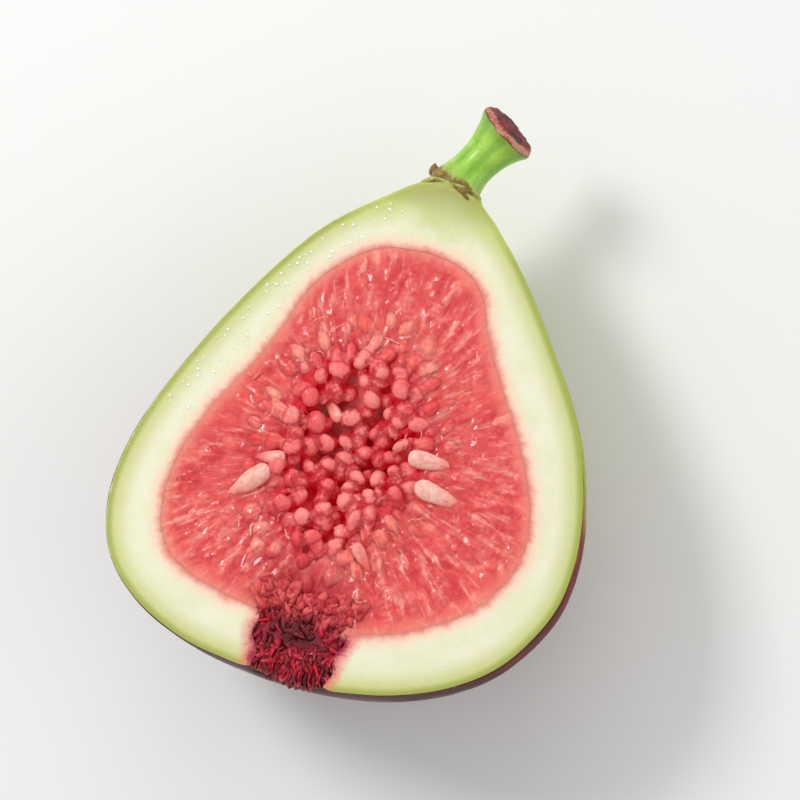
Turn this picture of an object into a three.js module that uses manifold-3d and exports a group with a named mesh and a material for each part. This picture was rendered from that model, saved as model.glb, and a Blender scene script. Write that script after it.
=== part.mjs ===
// A fresh fig cut in half lengthwise, lying on its round back with the cut face up.
//
// Units are millimetres and +Z is up. The pieces are shaped in the fruit's own frame: +Y runs from the
// eye at the broad end to the stalk, +X is across, and the knife's plane is z = 0 with the fruit below it.
// The group at the end leans that frame back a little and lifts it, so that the flat spot on the skin
// lies at z = 0 with its centre at the origin.
//
// Pieces: the rind (skin and white flesh), the pulp (florets grown together on their bed), the dark
// scales that fill the eye, and the green stalk.

import * as THREE from "three";
import { mergeVertices } from "three/addons/utils/BufferGeometryUtils.js";
import Module from "manifold-3d";

const wasm = await Module();
wasm.setup();

// ---------------------------------------------------------------- driving dimensions

const GAP = 0.3; // clearance between neighbouring pieces

// The fruit: [radius, distance along the axis] from the sunken eye to the neck under the stalk.
const FRUIT_OUTLINE = [
  [0, -27.4],
  [5.2, -28.3],
  [11.6, -27.2],
  [17.6, -24.6],
  [22.2, -20.6],
  [24.8, -15.0],
  [25.3, -9.4],
  [24.1, -2.6],
  [20.8, 6.0],
  [16.2, 13.8],
  [11.4, 20.4],
  [6.9, 24.9],
  [3.9, 27.2],
  [2.9, 28.6],
  [0, 28.9],
];
// The middle of the fruit at heights along it: [distance along the axis, sideways drift].
const FRUIT_MIDLINE = [
  [-28.3, -2.6],
  [-18.9, -1.8],
  [-11.7, -1.0],
  [-2.8, -0.45],
  [6.1, -0.35],
  [14.5, -1.1],
  [20.4, -1.5],
  [25.0, -1.3],
  [28.9, -0.8],
];
const BACK_DEPTH = 0.96; // depth of the half fruit as a share of its half width
const RIB_COUNT = 11;
const RIB_HEIGHT = 0.28;

// The hollow that the florets line, in the same terms.
const HOLLOW_OUTLINE = [
  [0, -22.0],
  [6.0, -21.7],
  [12.6, -20.0],
  [17.2, -16.4],
  [19.5, -10.6],
  [19.0, -5.0],
  [16.6, 0.8],
  [13.1, 7.2],
  [10.2, 13.2],
  [7.9, 17.2],
  [4.6, 19.8],
  [0, 20.8],
];
const HOLLOW_MIDLINE = [
  [-22.0, -2.6],
  [-19.5, -3.4],
  [-16.4, -2.4],
  [-11.0, -1.1],
  [-5.0, -0.5],
  [3.4, -0.65],
  [8.0, -1.3],
  [13.3, -2.2],
  [17.2, -1.7],
  [20.8, -1.2],
];

// The eye: a short passage from the hollow to the outside, full of scales.
const EYE_X = -1.3;
const EYE_RADIUS = 3.5;
const EYE_INNER_Y = -20.6;
const EYE_OUTER_Y = -28.2;
const EYE_BED_Z = -1.5; // the level that the scales stand on
const EYE_SCALE_ROWS = 5;
const EYE_OUTWARD_ROWS = 2; // rows next to the skin, which point out of the eye
const EYE_SCALES_PER_ROW = 4;

// The cavity in the middle of the pulp, an ellipsoid that the knife opened.
const CAVITY_CENTRE = new THREE.Vector3(-2.0, -3.2, 1.2);
const CAVITY_RADII = new THREE.Vector3(8.6, 12.2, 8.4);
const PULP_SURFACE_Z = -0.7; // the bed between the florets, a little under the knife's plane

// A floret: a drop with a slender foot and a rounded head.
const FLORET_LENGTH = 5.8;
const FLORET_RADIUS = 1.25;
const FLORET_SIDES = 5;
// Rows of florets that the knife laid open: [share of the way from the wall to the middle, count].
const CUT_ROWS = [
  [0.0, 36],
  [0.2, 29],
  [0.38, 22],
];
// Rings of heads on the cavity's wall: [degrees under its rim, count].
const CAVITY_RINGS = [
  [8, 18],
  [30, 14],
  [50, 10],
  [70, 6],
  [88, 2],
];

// The stalk: [radius, distance along it], bent sideways from its foot to its cut end.
const STALK_OUTLINE = [
  [0, 0],
  [2.8, 0],
  [3.1, 0.45],
  [2.75, 1.1],
  [2.45, 2.6],
  [2.45, 4.2],
  [2.7, 5.7],
  [3.15, 7.1],
  [3.6, 8.2],
  [3.55, 8.75],
  [3.1, 8.9],
  [1.7, 8.65],
  [0, 8.6],
];
const STALK_FOOT = new THREE.Vector3(-0.7, 28.3, 0);
// Degrees: lean from the fruit's axis towards +X at the foot, the bend from there to the tip, and how
// far the plane of that bend is turned out of the knife's plane, which lifts the cut end into view.
const STALK_BEND = { atFoot: 22, toTip: 24, planeTurn: 62 };

// The knife's lower edge as [y, z]: flat through the fruit, then out over the neck, which stays whole.
const KNIFE_EXIT = [
  [25.4, 0],
  [26.5, 0.9],
  [27.3, 2.4],
  [27.8, 5.0],
];

// How it lies: leaned back towards the stalk, on a flat spot pressed into the skin.
const LIE_ANGLE = 10;
const FLAT_PRESS = 0.7;

const FRUIT_SIDES = 56;
const FRUIT_RINGS = 34;
const HOLLOW_SIDES = 36;
const HOLLOW_RINGS = 22;
const STALK_SIDES = 18;
const STALK_RINGS = 18;

// ---------------------------------------------------------------- small helpers

/** A repeatable random source between 0 and 1. */
function seededRandom(seed) {
  let state = seed >>> 0;
  return () => {
    state = (Math.imul(state, 1664525) + 1013904223) >>> 0;
    return state / 4294967296;
  };
}

/** A closed three.js geometry as a manifold-3d solid. */
function toSolid(geometry) {
  const bare = new THREE.BufferGeometry();
  bare.setAttribute("position", geometry.getAttribute("position"));
  bare.setIndex(geometry.index);
  const merged = mergeVertices(bare, 1e-4);
  return new wasm.Manifold(
    new wasm.Mesh({
      numProp: 3,
      vertProperties: new Float32Array(merged.attributes.position.array),
      triVerts: new Uint32Array(merged.index.array),
    }),
  );
}

/** The biggest body of a solid, without loose scraps and sealed hollows. */
function mainBody(solid) {
  return solid
    .decompose()
    .reduce((best, body) => (body.volume() > best.volume() ? body : best));
}

/** A manifold-3d solid as a three.js geometry with flat faces. */
function toGeometry(solid) {
  const mesh = solid.getMesh();
  const geometry = new THREE.BufferGeometry();
  geometry.setAttribute("position", new THREE.BufferAttribute(mesh.vertProperties, 3));
  geometry.setIndex(new THREE.BufferAttribute(mesh.triVerts, 1));
  const flat = geometry.toNonIndexed();
  flat.computeVertexNormals();
  return flat;
}

/** A solid box between two corners. */
function boxBetween(low, high) {
  const size = new THREE.Vector3().subVectors(high, low);
  const geometry = new THREE.BoxGeometry(size.x, size.y, size.z);
  geometry.translate((low.x + high.x) / 2, (low.y + high.y) / 2, (low.z + high.z) / 2);
  return toSolid(geometry);
}

/** Moves every vertex of a geometry with a function that changes the point it is given. */
function moveVertices(geometry, move) {
  const position = geometry.getAttribute("position");
  const point = new THREE.Vector3();
  for (let i = 0; i < position.count; i++) {
    point.fromBufferAttribute(position, i);
    move(point);
    position.setXYZ(i, point.x, point.y, point.z);
  }
  return geometry;
}

/** A smooth function of the height along the axis that passes through a midline's points. */
function driftAlong(midline) {
  const curve = new THREE.SplineCurve(midline.map(([y, x]) => new THREE.Vector2(y, x)));
  const fine = curve.getPoints(midline.length * 12);
  return (y) => {
    const next = fine.findIndex((p) => p.x >= y);
    if (next === 0) return fine[0].y;
    if (next < 0) return fine[fine.length - 1].y;
    const [before, after] = [fine[next - 1], fine[next]];
    return THREE.MathUtils.mapLinear(y, before.x, after.x, before.y, after.y);
  };
}

const fruitDrift = driftAlong(FRUIT_MIDLINE);
const hollowDrift = driftAlong(HOLLOW_MIDLINE);

/** A profile turned round +Y, pulled in by an inset, given ribs, and moved sideways along its midline. */
function turnedSolid(outline, drift, { sides, rings, inset = 0, ribHeight = 0 }) {
  const curve = new THREE.SplineCurve(outline.map(([r, y]) => new THREE.Vector2(r, y)));
  const profile = [];
  for (let i = 0; i <= rings; i++) {
    const point = curve.getPointAt(i / rings);
    const tangent = curve.getTangentAt(i / rings);
    const onAxis = i === 0 || i === rings;
    const x = onAxis ? 0 : Math.max(0.05, point.x - tangent.y * inset);
    const y = onAxis ? point.y + (i === 0 ? inset : -inset) : point.y + tangent.x * inset;
    profile.push(new THREE.Vector2(x, y));
  }
  const geometry = new THREE.LatheGeometry(profile, sides);
  moveVertices(geometry, (p) => {
    const radius = Math.hypot(p.x, p.z);
    const around = Math.atan2(p.x, p.z);
    const fade = Math.sin(Math.PI * Math.min(1, Math.max(0, (p.y + 28.3) / 54)));
    const swell = radius > 1 ? 1 + (ribHeight * fade * Math.cos(RIB_COUNT * around)) / radius : 1;
    p.x = p.x * swell + drift(p.y);
    p.z *= swell * BACK_DEPTH;
  });
  return toSolid(geometry);
}

/** A tapering drop along +Y from the origin: foot first, rounded head last. */
function dropGeometry(length, radius, sides) {
  const profile = [
    [0, 0],
    [0.72, 0.08],
    [1.0, 0.74],
    [0.6, 0.96],
    [0, 1],
  ].map(([r, y]) => new THREE.Vector2(r * radius, y * length));
  return new THREE.LatheGeometry(profile, sides);
}

/** A drop's solid with its foot at one point, pointing along a direction. */
function placedDrop(foot, direction, length, radius, turn) {
  const geometry = dropGeometry(length, radius, FLORET_SIDES);
  geometry.rotateY(turn);
  const turnTo = new THREE.Quaternion().setFromUnitVectors(
    new THREE.Vector3(0, 1, 0),
    direction.clone().normalize(),
  );
  geometry.applyQuaternion(turnTo);
  geometry.translate(foot.x, foot.y, foot.z);
  return toSolid(geometry);
}

// ---------------------------------------------------------------- the fruit's two surfaces

/** Everything that the knife takes off: the space above the cut, short of the neck. */
function aboveKnife() {
  const side = new THREE.Shape();
  side.moveTo(0, -60);
  for (const [y, z] of KNIFE_EXIT) side.lineTo(-z, y);
  side.lineTo(-60, KNIFE_EXIT[KNIFE_EXIT.length - 1][0]);
  side.lineTo(-60, -60);
  const geometry = new THREE.ExtrudeGeometry(side, { depth: 120, bevelEnabled: false });
  geometry.rotateY(Math.PI / 2);
  geometry.translate(-60, 0, 0);
  return toSolid(geometry);
}

const wholeFruit = turnedSolid(FRUIT_OUTLINE, fruitDrift, {
  sides: FRUIT_SIDES,
  rings: FRUIT_RINGS,
  ribHeight: RIB_HEIGHT,
});

/** The hollow, pulled in by an inset so that what fills it stays clear of the rind. */
function hollow(inset) {
  return turnedSolid(HOLLOW_OUTLINE, hollowDrift, {
    sides: HOLLOW_SIDES,
    rings: HOLLOW_RINGS,
    inset,
  });
}

/** The eye's passage as a round rod that flares at both ends, its wall pulled in by an inset. */
function eyePassage(inset) {
  const profile = [
    [0, EYE_OUTER_Y - 4],
    [EYE_RADIUS * 1.5 - inset, EYE_OUTER_Y - 4],
    [EYE_RADIUS * 1.1 - inset, EYE_OUTER_Y],
    [EYE_RADIUS - inset, EYE_OUTER_Y + 2.4],
    [EYE_RADIUS * 1.2 - inset, EYE_INNER_Y - 1.6],
    [EYE_RADIUS * 1.5 - inset, EYE_INNER_Y + 1],
    [0, EYE_INNER_Y + 1],
  ].map(([r, y]) => new THREE.Vector2(r, y));
  const geometry = new THREE.LatheGeometry(profile, 24);
  geometry.translate(EYE_X, 0, 0);
  return toSolid(geometry);
}

/** The part of a solid between two heights along the fruit's axis and under a level. */
function sliceOf(solid, lowY, highY, topZ = 60) {
  return solid.intersect(
    boxBetween(new THREE.Vector3(-60, lowY, -60), new THREE.Vector3(60, highY, topZ)),
  );
}

/** The space over the neck that the stalk needs, squared to the stalk's foot. */
function aboveStalkSeat() {
  const geometry = new THREE.BoxGeometry(12, 12, 12);
  geometry.translate(0, 6 - GAP, 0);
  geometry.rotateZ(THREE.MathUtils.degToRad(-STALK_BEND.atFoot));
  geometry.translate(STALK_FOOT.x, STALK_FOOT.y, STALK_FOOT.z);
  return toSolid(geometry);
}

// ---------------------------------------------------------------- resting place

const leanBack = new THREE.Matrix4().makeRotationX(THREE.MathUtils.degToRad(-LIE_ANGLE));

/** The box, in the leaned frame, of a solid's vertices that lie under a level there. */
function leanedBox(solid, topZ = Infinity) {
  const mesh = solid.getMesh();
  const box = new THREE.Box3();
  const point = new THREE.Vector3();
  for (let i = 0; i < mesh.numVert; i++) {
    point.fromArray(mesh.vertProperties, i * mesh.numProp).applyMatrix4(leanBack);
    if (point.z < topZ) box.expandByPoint(point);
  }
  return box;
}

const floorZ = leanedBox(wholeFruit).min.z + FLAT_PRESS;

/** Everything under the floor, as a slab in the fruit's own frame. */
function underFloor() {
  const slab = new THREE.BoxGeometry(160, 160, 20);
  slab.translate(0, 0, floorZ - 10);
  slab.applyMatrix4(leanBack.clone().invert());
  return toSolid(slab);
}

// ---------------------------------------------------------------- rind

function makeRind() {
  return mainBody(
    wholeFruit
      .subtract(aboveKnife())
      .subtract(hollow(0))
      .subtract(eyePassage(0))
      .subtract(aboveStalkSeat())
      .subtract(underFloor()),
  );
}

// ---------------------------------------------------------------- pulp

/** The hollow's rim in the knife's plane, as points round the cavity's middle with their angles. */
const rim = new THREE.SplineCurve(HOLLOW_OUTLINE.map(([r, y]) => new THREE.Vector2(r, y)))
  .getPoints(240)
  .flatMap((p) => [-1, 1].map((side) => new THREE.Vector3(side * p.x + hollowDrift(p.y), p.y, 0)))
  .map((point) => ({ point, angle: angleRoundCavity(point) }));

/** The direction of a point from the cavity's middle, in the knife's plane. */
function angleRoundCavity(point) {
  return Math.atan2(point.y - CAVITY_CENTRE.y, point.x - CAVITY_CENTRE.x);
}

/** The point of the hollow's rim that lies nearest to a direction from the cavity's middle. */
function rimPoint(angle) {
  const error = (spot) => 1 - Math.cos(spot.angle - angle);
  return rim.reduce((best, spot) => (error(spot) < error(best) ? spot : best)).point;
}

/** The rows of florets that lie in the cut, feet to the wall and heads to the middle. */
function cutFlorets(random) {
  const middle = new THREE.Vector3(CAVITY_CENTRE.x, CAVITY_CENTRE.y, 0);
  const drops = [];
  for (const [share, count] of CUT_ROWS) {
    for (let i = 0; i < count; i++) {
      const angle = ((i + 0.5 * random() + share * 3) / count) * Math.PI * 2;
      const rim = rimPoint(angle);
      const foot = rim.clone().lerp(middle, share + 0.05 * random());
      const inward = middle.clone().sub(rim).normalize();
      inward.x += 0.24 * (random() - 0.5);
      inward.y += 0.24 * (random() - 0.5);
      inward.z = 0.02 + 0.08 * random();
      foot.z = PULP_SURFACE_Z - 0.1;
      const length = FLORET_LENGTH * (0.8 + 0.35 * random());
      const radius = FLORET_RADIUS * (0.75 + 0.3 * random());
      drops.push(placedDrop(foot, inward, length, radius, random() * Math.PI));
    }
  }
  return drops;
}

/** The heads that stand out of the cavity's wall, pointing to its middle. */
function cavityHeads(random) {
  const drops = [];
  for (const [fall, count] of CAVITY_RINGS) {
    for (let i = 0; i < count; i++) {
      const angle = ((i + 0.6 * random()) / count) * Math.PI * 2 + fall;
      const down = THREE.MathUtils.degToRad(fall + 8 * (random() - 0.5));
      const outward = new THREE.Vector3(
        Math.cos(angle) * Math.cos(down) * CAVITY_RADII.x,
        Math.sin(angle) * Math.cos(down) * CAVITY_RADII.y,
        -Math.sin(down) * CAVITY_RADII.z - CAVITY_CENTRE.z,
      );
      const onWall = outward.clone().add(CAVITY_CENTRE);
      const inward = outward.clone().negate().normalize();
      inward.x += 0.3 * (random() - 0.5);
      inward.y += 0.3 * (random() - 0.5);
      inward.z += 0.25 * random();
      inward.normalize();
      const length = FLORET_LENGTH * (0.75 + 0.25 * random());
      const foot = onWall.clone().addScaledVector(inward, -length * 0.5);
      drops.push(placedDrop(foot, inward, length, FLORET_RADIUS * (0.95 + 0.3 * random()), random() * 3));
    }
  }
  return drops;
}

function makePulp() {
  const random = seededRandom(11);
  const cavity = new THREE.SphereGeometry(1, 22, 14);
  cavity.scale(CAVITY_RADII.x, CAVITY_RADII.y, CAVITY_RADII.z);
  cavity.translate(CAVITY_CENTRE.x, CAVITY_CENTRE.y, CAVITY_CENTRE.z);
  const filling = hollow(GAP);
  const aboveBed = boxBetween(
    new THREE.Vector3(-60, -60, PULP_SURFACE_Z),
    new THREE.Vector3(60, 60, 60),
  );
  const bed = filling.subtract(aboveBed).subtract(toSolid(cavity));
  const room = filling.add(boxBetween(new THREE.Vector3(-60, -60, GAP), new THREE.Vector3(60, 60, 20)));
  const florets = wasm.Manifold.union([...cutFlorets(random), ...cavityHeads(random)]);
  const eye = sliceOf(eyePassage(-GAP), EYE_OUTER_Y - 4, EYE_INNER_Y);
  return mainBody(bed.add(florets.intersect(room)).subtract(eye));
}

// ---------------------------------------------------------------- eye scales

/** A pointed scale along +Y from the origin, flattened in its own thickness. */
function scaleGeometry(length, width, thickness) {
  const geometry = new THREE.ConeGeometry(width / 2, length, 5, 1);
  geometry.translate(0, length / 2, 0);
  geometry.scale(1, 1, thickness / width);
  return geometry;
}

function makeEyeScales() {
  const random = seededRandom(5);
  const plug = sliceOf(eyePassage(GAP), EYE_OUTER_Y + 1.0, EYE_INNER_Y - GAP, EYE_BED_Z);
  const scales = [];
  for (let row = 0; row < EYE_SCALE_ROWS; row++) {
    const pointsOut = row < EYE_OUTWARD_ROWS;
    for (let i = 0; i < EYE_SCALES_PER_ROW; i++) {
      const across = ((i + 0.3 + 0.4 * random()) / EYE_SCALES_PER_ROW - 0.5) * 2;
      const geometry = scaleGeometry(2.8 + 1.0 * random(), 2.0, 0.9);
      geometry.rotateX(THREE.MathUtils.degToRad(16 + 16 * random()));
      if (pointsOut) geometry.rotateZ(Math.PI);
      geometry.rotateZ((pointsOut ? 0.5 : -0.5) * across + 0.3 * (random() - 0.5));
      const y = EYE_OUTER_Y + 1.6 + (row / (EYE_SCALE_ROWS - 1)) * 3.4;
      geometry.translate(EYE_X + across * (EYE_RADIUS - 1.1), y, EYE_BED_Z - 0.2);
      scales.push(toSolid(geometry));
    }
  }
  const room = sliceOf(eyePassage(GAP), EYE_OUTER_Y - 1.2, EYE_INNER_Y - GAP);
  return mainBody(plug.add(wasm.Manifold.union(scales).intersect(room)));
}

// ---------------------------------------------------------------- stalk

function makeStalk() {
  const curve = new THREE.SplineCurve(STALK_OUTLINE.map(([r, y]) => new THREE.Vector2(r, y)));
  const profile = STALK_OUTLINE.map(([r, y]) => new THREE.Vector2(r, y));
  const smooth = [];
  for (let i = 0; i <= STALK_RINGS; i++) smooth.push(curve.getPointAt(i / STALK_RINGS));
  smooth[0].copy(profile[0]);
  smooth[STALK_RINGS].copy(profile[profile.length - 1]);
  smooth.forEach((p) => (p.x = Math.max(0, p.x)));
  const geometry = new THREE.LatheGeometry(smooth, STALK_SIDES);
  const length = STALK_OUTLINE[STALK_OUTLINE.length - 1][1];
  const turn = THREE.MathUtils.degToRad(STALK_BEND.toTip);
  const arcRadius = length / turn;
  moveVertices(geometry, (p) => {
    const angle = (p.y / length) * turn;
    const across = arcRadius - p.x;
    p.x = arcRadius - across * Math.cos(angle);
    p.y = across * Math.sin(angle);
  });
  geometry.rotateY(THREE.MathUtils.degToRad(-STALK_BEND.planeTurn));
  geometry.rotateZ(THREE.MathUtils.degToRad(-STALK_BEND.atFoot));
  geometry.translate(STALK_FOOT.x, STALK_FOOT.y, STALK_FOOT.z);
  return toSolid(geometry);
}

// ---------------------------------------------------------------- assembly

const rind = makeRind();
const fig = new THREE.Group();
const pieces = new THREE.Group();
pieces.rotation.x = THREE.MathUtils.degToRad(-LIE_ANGLE);
const flatSpot = leanedBox(rind, floorZ + 0.01).getCenter(new THREE.Vector3());
pieces.position.set(-flatSpot.x, -flatSpot.y, -floorZ);
fig.add(pieces);

/** Adds a solid to the fig as a named mesh with its own material. */
function addPiece(name, solid, color, roughness) {
  const material = new THREE.MeshStandardMaterial({ color, roughness, metalness: 0 });
  const mesh = new THREE.Mesh(toGeometry(solid), material);
  mesh.name = name;
  pieces.add(mesh);
}

addPiece("rind", rind, 0xdfe6b4, 0.45);
addPiece("pulp", makePulp(), 0xc8424a, 0.35);
addPiece("eye_scales", makeEyeScales(), 0x6d1430, 0.5);
addPiece("stalk", makeStalk(), 0x7fae3a, 0.5);

export default fig;
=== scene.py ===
"""A fresh fig cut in half lengthwise, lying on its round back with the cut face up.

The pieces are shaped in the fruit's own frame, in millimetres: +Y runs from the eye at the broad end to the
stalk, +X is across, and the knife's plane is z = 0 with the fruit under it. Each finished piece is then
leaned back onto the floor, in metres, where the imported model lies.
"""

from __future__ import annotations

import logging
import math
import random
from collections.abc import Callable, Sequence
from dataclasses import dataclass, field
from enum import Enum

import bpy
import numpy as np
from mathutils import Euler, Matrix, Vector, noise
from mathutils.kdtree import KDTree

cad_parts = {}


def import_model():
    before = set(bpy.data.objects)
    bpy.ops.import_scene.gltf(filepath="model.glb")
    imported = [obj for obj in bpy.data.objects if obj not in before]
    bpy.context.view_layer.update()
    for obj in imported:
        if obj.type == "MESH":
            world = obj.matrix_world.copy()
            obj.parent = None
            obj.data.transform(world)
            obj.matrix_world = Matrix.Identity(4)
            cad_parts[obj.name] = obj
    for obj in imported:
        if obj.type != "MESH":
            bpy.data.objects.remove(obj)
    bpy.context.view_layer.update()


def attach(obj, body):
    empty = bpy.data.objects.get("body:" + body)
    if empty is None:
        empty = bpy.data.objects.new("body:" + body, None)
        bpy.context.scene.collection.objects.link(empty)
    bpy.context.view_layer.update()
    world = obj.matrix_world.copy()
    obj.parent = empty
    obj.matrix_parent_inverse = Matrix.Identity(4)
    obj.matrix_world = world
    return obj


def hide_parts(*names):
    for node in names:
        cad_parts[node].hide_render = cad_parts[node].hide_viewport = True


log = logging.getLogger("fig")

Array = np.ndarray
Material = bpy.types.Material
Piece = bpy.types.Object

MM = 0.001
FULL_TURN = 2 * math.pi
ROLL = (0, 6.28)  # how far a copy may be rolled about its own axis
LEAN_BACK = math.radians(10.0)
SEAT = Vector((0.60, 9.32, 21.57)) * MM  # where the fruit's own origin stands over the flat spot
LIE = Matrix.Translation(SEAT) @ Matrix.Rotation(-LEAN_BACK, 4, "X") @ Matrix.Scale(MM, 4)


class Slot(Enum):
    """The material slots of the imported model, each with the name of the solid that has it."""

    RIND = "rind"
    PULP = "pulp"
    EYE = "eye_scales"
    STALK = "stalk"


class Zone(Enum):
    """The stretches of the rind's wall."""

    SKIN = 0
    PASSAGE = 1
    HOLLOW = 2
    CUT = 3


# ------------------------------ modelling helpers


def clear_selection() -> None:
    """Go back to object mode and deselect every object."""
    if bpy.context.object and bpy.context.object.mode != "OBJECT":
        bpy.ops.object.mode_set(mode="OBJECT")
    bpy.ops.object.select_all(action="DESELECT")


def pick(piece: Piece) -> None:
    """Select one object alone.

    Args:
        piece: The object, which becomes the active one too.
    """
    clear_selection()
    piece.select_set(True)
    bpy.context.view_layer.objects.active = piece


def named(name: str) -> Piece:
    """Name what an operator just added.

    Args:
        name: The name for the object and its mesh.

    Returns:
        The object.
    """
    piece = bpy.context.object
    piece.name = name
    piece.data.name = name
    return piece


def read(items: bpy.types.bpy_prop_collection, key: str, width: int = 1) -> Array:
    """Read one property of many items.

    Args:
        items: The items, such as a mesh's vertices.
        key: The property.
        width: How many numbers it has for each item.

    Returns:
        The numbers, as a row for each item where it has several.
    """
    flat = np.zeros(len(items) * width, np.float32)
    items.foreach_get(key, flat)
    return flat.reshape((-1, width) if width > 1 else -1).astype(float)


def points_of(piece: Piece) -> Array:
    """Return the vertices of a piece as rows of x, y and z."""
    return read(piece.data.vertices, "co", 3)


def normals_of(piece: Piece) -> Array:
    """Return the outward direction at each vertex."""
    return read(piece.data.vertex_normals, "vector", 3)


def stored(piece: Piece, name: str) -> Array:
    """Return the numbers that a piece holds under a name."""
    return read(piece.data.attributes[name].data, "value")


def store(piece: Piece, **shades: Array | float) -> None:
    """Make a piece hold numbers for its vertices, which a material reads by their names.

    Args:
        piece: The piece.
        shades: For each name, a number for each vertex or one for all.
    """
    for name, values in shades.items():
        attribute = piece.data.attributes.get(name) or piece.data.attributes.new(name, "FLOAT", "POINT")
        row = np.broadcast_to(values, len(piece.data.vertices)).astype(np.float32)
        attribute.data.foreach_set("value", row)


def set_points(piece: Piece, points: Array) -> None:
    """Put the vertices of a piece at new places."""
    piece.data.vertices.foreach_set("co", points.astype(np.float32).ravel())
    piece.data.update()


def swell(piece: Piece, heights: Array) -> None:
    """Move each vertex of a piece out by its own height."""
    set_points(piece, points_of(piece) + normals_of(piece) * heights[:, None])


def edit_all(piece: Piece) -> None:
    """Go to edit mode with all of a piece selected."""
    pick(piece)
    bpy.ops.object.mode_set(mode="EDIT")
    bpy.ops.mesh.select_all(action="SELECT")


def select_edges(piece: Piece, wanted: Callable[[tuple[int, ...], list[int]], bool]) -> None:
    """Go to edit mode with some edges of a piece selected.

    Args:
        piece: The piece.
        wanted: Takes an edge's two vertices and the faces that meet at it, and says if it is wanted.
    """
    pick(piece)
    mesh = piece.data
    meeting: dict[tuple[int, int], list[int]] = {}
    for face in mesh.polygons:
        for key in face.edge_keys:
            meeting.setdefault(key, []).append(face.index)
    for items in (mesh.polygons, mesh.vertices):
        items.foreach_set("select", [False] * len(items))
    mesh.edges.foreach_set("select", [wanted(edge.key, meeting.get(edge.key, [])) for edge in mesh.edges])
    bpy.ops.object.mode_set(mode="EDIT")
    bpy.ops.mesh.select_mode(type="EDGE")


def select_open_edges(piece: Piece, chosen: Array) -> None:
    """Go to edit mode with the edges selected that have one face and two chosen ends."""
    select_edges(piece, lambda ends, faces: len(faces) == 1 and bool(chosen[ends[0]] and chosen[ends[1]]))


def modify(piece: Piece, kind: str, **settings: object) -> None:
    """Add one modifier to a piece and apply it.

    Args:
        piece: The piece.
        kind: The modifier's type.
        settings: Its settings.
    """
    pick(piece)
    modifier = piece.modifiers.new(kind.title(), kind)
    for key, value in settings.items():
        setattr(modifier, key, value)
    bpy.ops.object.modifier_apply(modifier=modifier.name)


def smooth_path(points: Sequence[Sequence[float]], count: int) -> Array:
    """Space points evenly on a smooth curve through a few given ones.

    Args:
        points: The given points, each with two or three numbers.
        count: How many points to return.

    Returns:
        The new points, one a row, with the first and last given ones at the ends.
    """
    knots = np.array(points, float)
    padded = np.vstack([2 * knots[0] - knots[1], knots, 2 * knots[-1] - knots[-2]])
    share = np.linspace(0, 1, 24, endpoint=False)[:, None]
    stretches = []
    for a, b, c, d in zip(padded, padded[1:], padded[2:], padded[3:]):
        bend, twist = 2 * a - 5 * b + 4 * c - d, 3 * b - a - 3 * c + d
        stretches.append(0.5 * (2 * b + (c - a) * share + bend * share**2 + twist * share**3))
    fine = np.vstack([*stretches, knots[-1:]])
    steps = np.linalg.norm(np.diff(fine, axis=0), axis=1)
    along = np.concatenate([[0.0], np.cumsum(steps)])
    at = np.linspace(0, along[-1], count)
    return np.column_stack([np.interp(at, along, fine[:, k]) for k in range(knots.shape[1])])


def smooth_step(low: float, high: float, values: Array | float) -> Array | float:
    """Ease from 0 at one value to 1 at another."""
    share = np.clip((values - low) / (high - low), 0.0, 1.0)
    return share * share * (3.0 - 2.0 * share)


def distance_to_edges(edges: Array, points: Array) -> Array:
    """Measure how far points lie from the nearest of some edges.

    Args:
        edges: The two ends of each edge, as an array of edges, ends and x, y, z.
        points: The points, one a row.

    Returns:
        The distance of each point.
    """
    least = np.full(len(points), np.inf)
    for start, end in edges:
        stretch = end - start
        share = np.clip((points - start) @ stretch / max(stretch @ stretch, 1e-9), 0.0, 1.0)
        gap = points - start - share[:, None] * stretch
        least = np.minimum(least, np.linalg.norm(gap, axis=1))
    return least


def nearest(known: Array, points: Array, count: int) -> tuple[Array, Array]:
    """Find the known points nearest to other points.

    Args:
        known: The known points, one a row.
        points: The other points.
        count: How many to find for each.

    Returns:
        Their numbers, a row for each of the other points with the nearest first, and their distances.
    """
    tree = KDTree(len(known))
    for number, place in enumerate(known):
        tree.insert(place, number)
    tree.balance()
    found = np.array([[(number, away) for _, number, away in tree.find_n(point, count)] for point in points])
    return found[:, :, 0].astype(int), found[:, :, 1]


def ripple(points: Array, scale: float, seed: float) -> Array:
    """Return a soft noise between -1 and 1 at each point."""
    offset = Vector((seed, 2.0 * seed, 3.0 * seed))
    return np.array([noise.noise(Vector(p) * scale + offset) for p in points])


def ripples(points: Array, *waves: tuple[float, float, float]) -> Array:
    """Add up soft noises, each given by its height, its scale and its seed."""
    return sum(height * ripple(points, scale, seed) for height, scale, seed in waves)


def pull_chain(name: str, outline: Array) -> Piece:
    """Pull one vertex along an outline, which leaves a chain of edges.

    Args:
        name: The new object's name.
        outline: The outline's points, as rows of x and y in millimetres.

    Returns:
        The chain, left in edit mode with all of it selected.
    """
    clear_selection()
    bpy.ops.mesh.primitive_circle_add(vertices=3, radius=1.0)
    chain = named(name)
    points = np.pad(outline, ((0, 0), (0, 1)))
    bpy.ops.object.mode_set(mode="EDIT")
    bpy.ops.mesh.select_mode(type="VERT")
    bpy.ops.mesh.select_all(action="SELECT")
    bpy.ops.mesh.merge(type="CENTER")
    bpy.ops.transform.translate(value=points[0])
    for step in np.diff(points, axis=0):
        bpy.ops.mesh.extrude_vertices_move(TRANSFORM_OT_translate={"value": step})
    bpy.ops.mesh.select_all(action="SELECT")
    return chain


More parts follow.
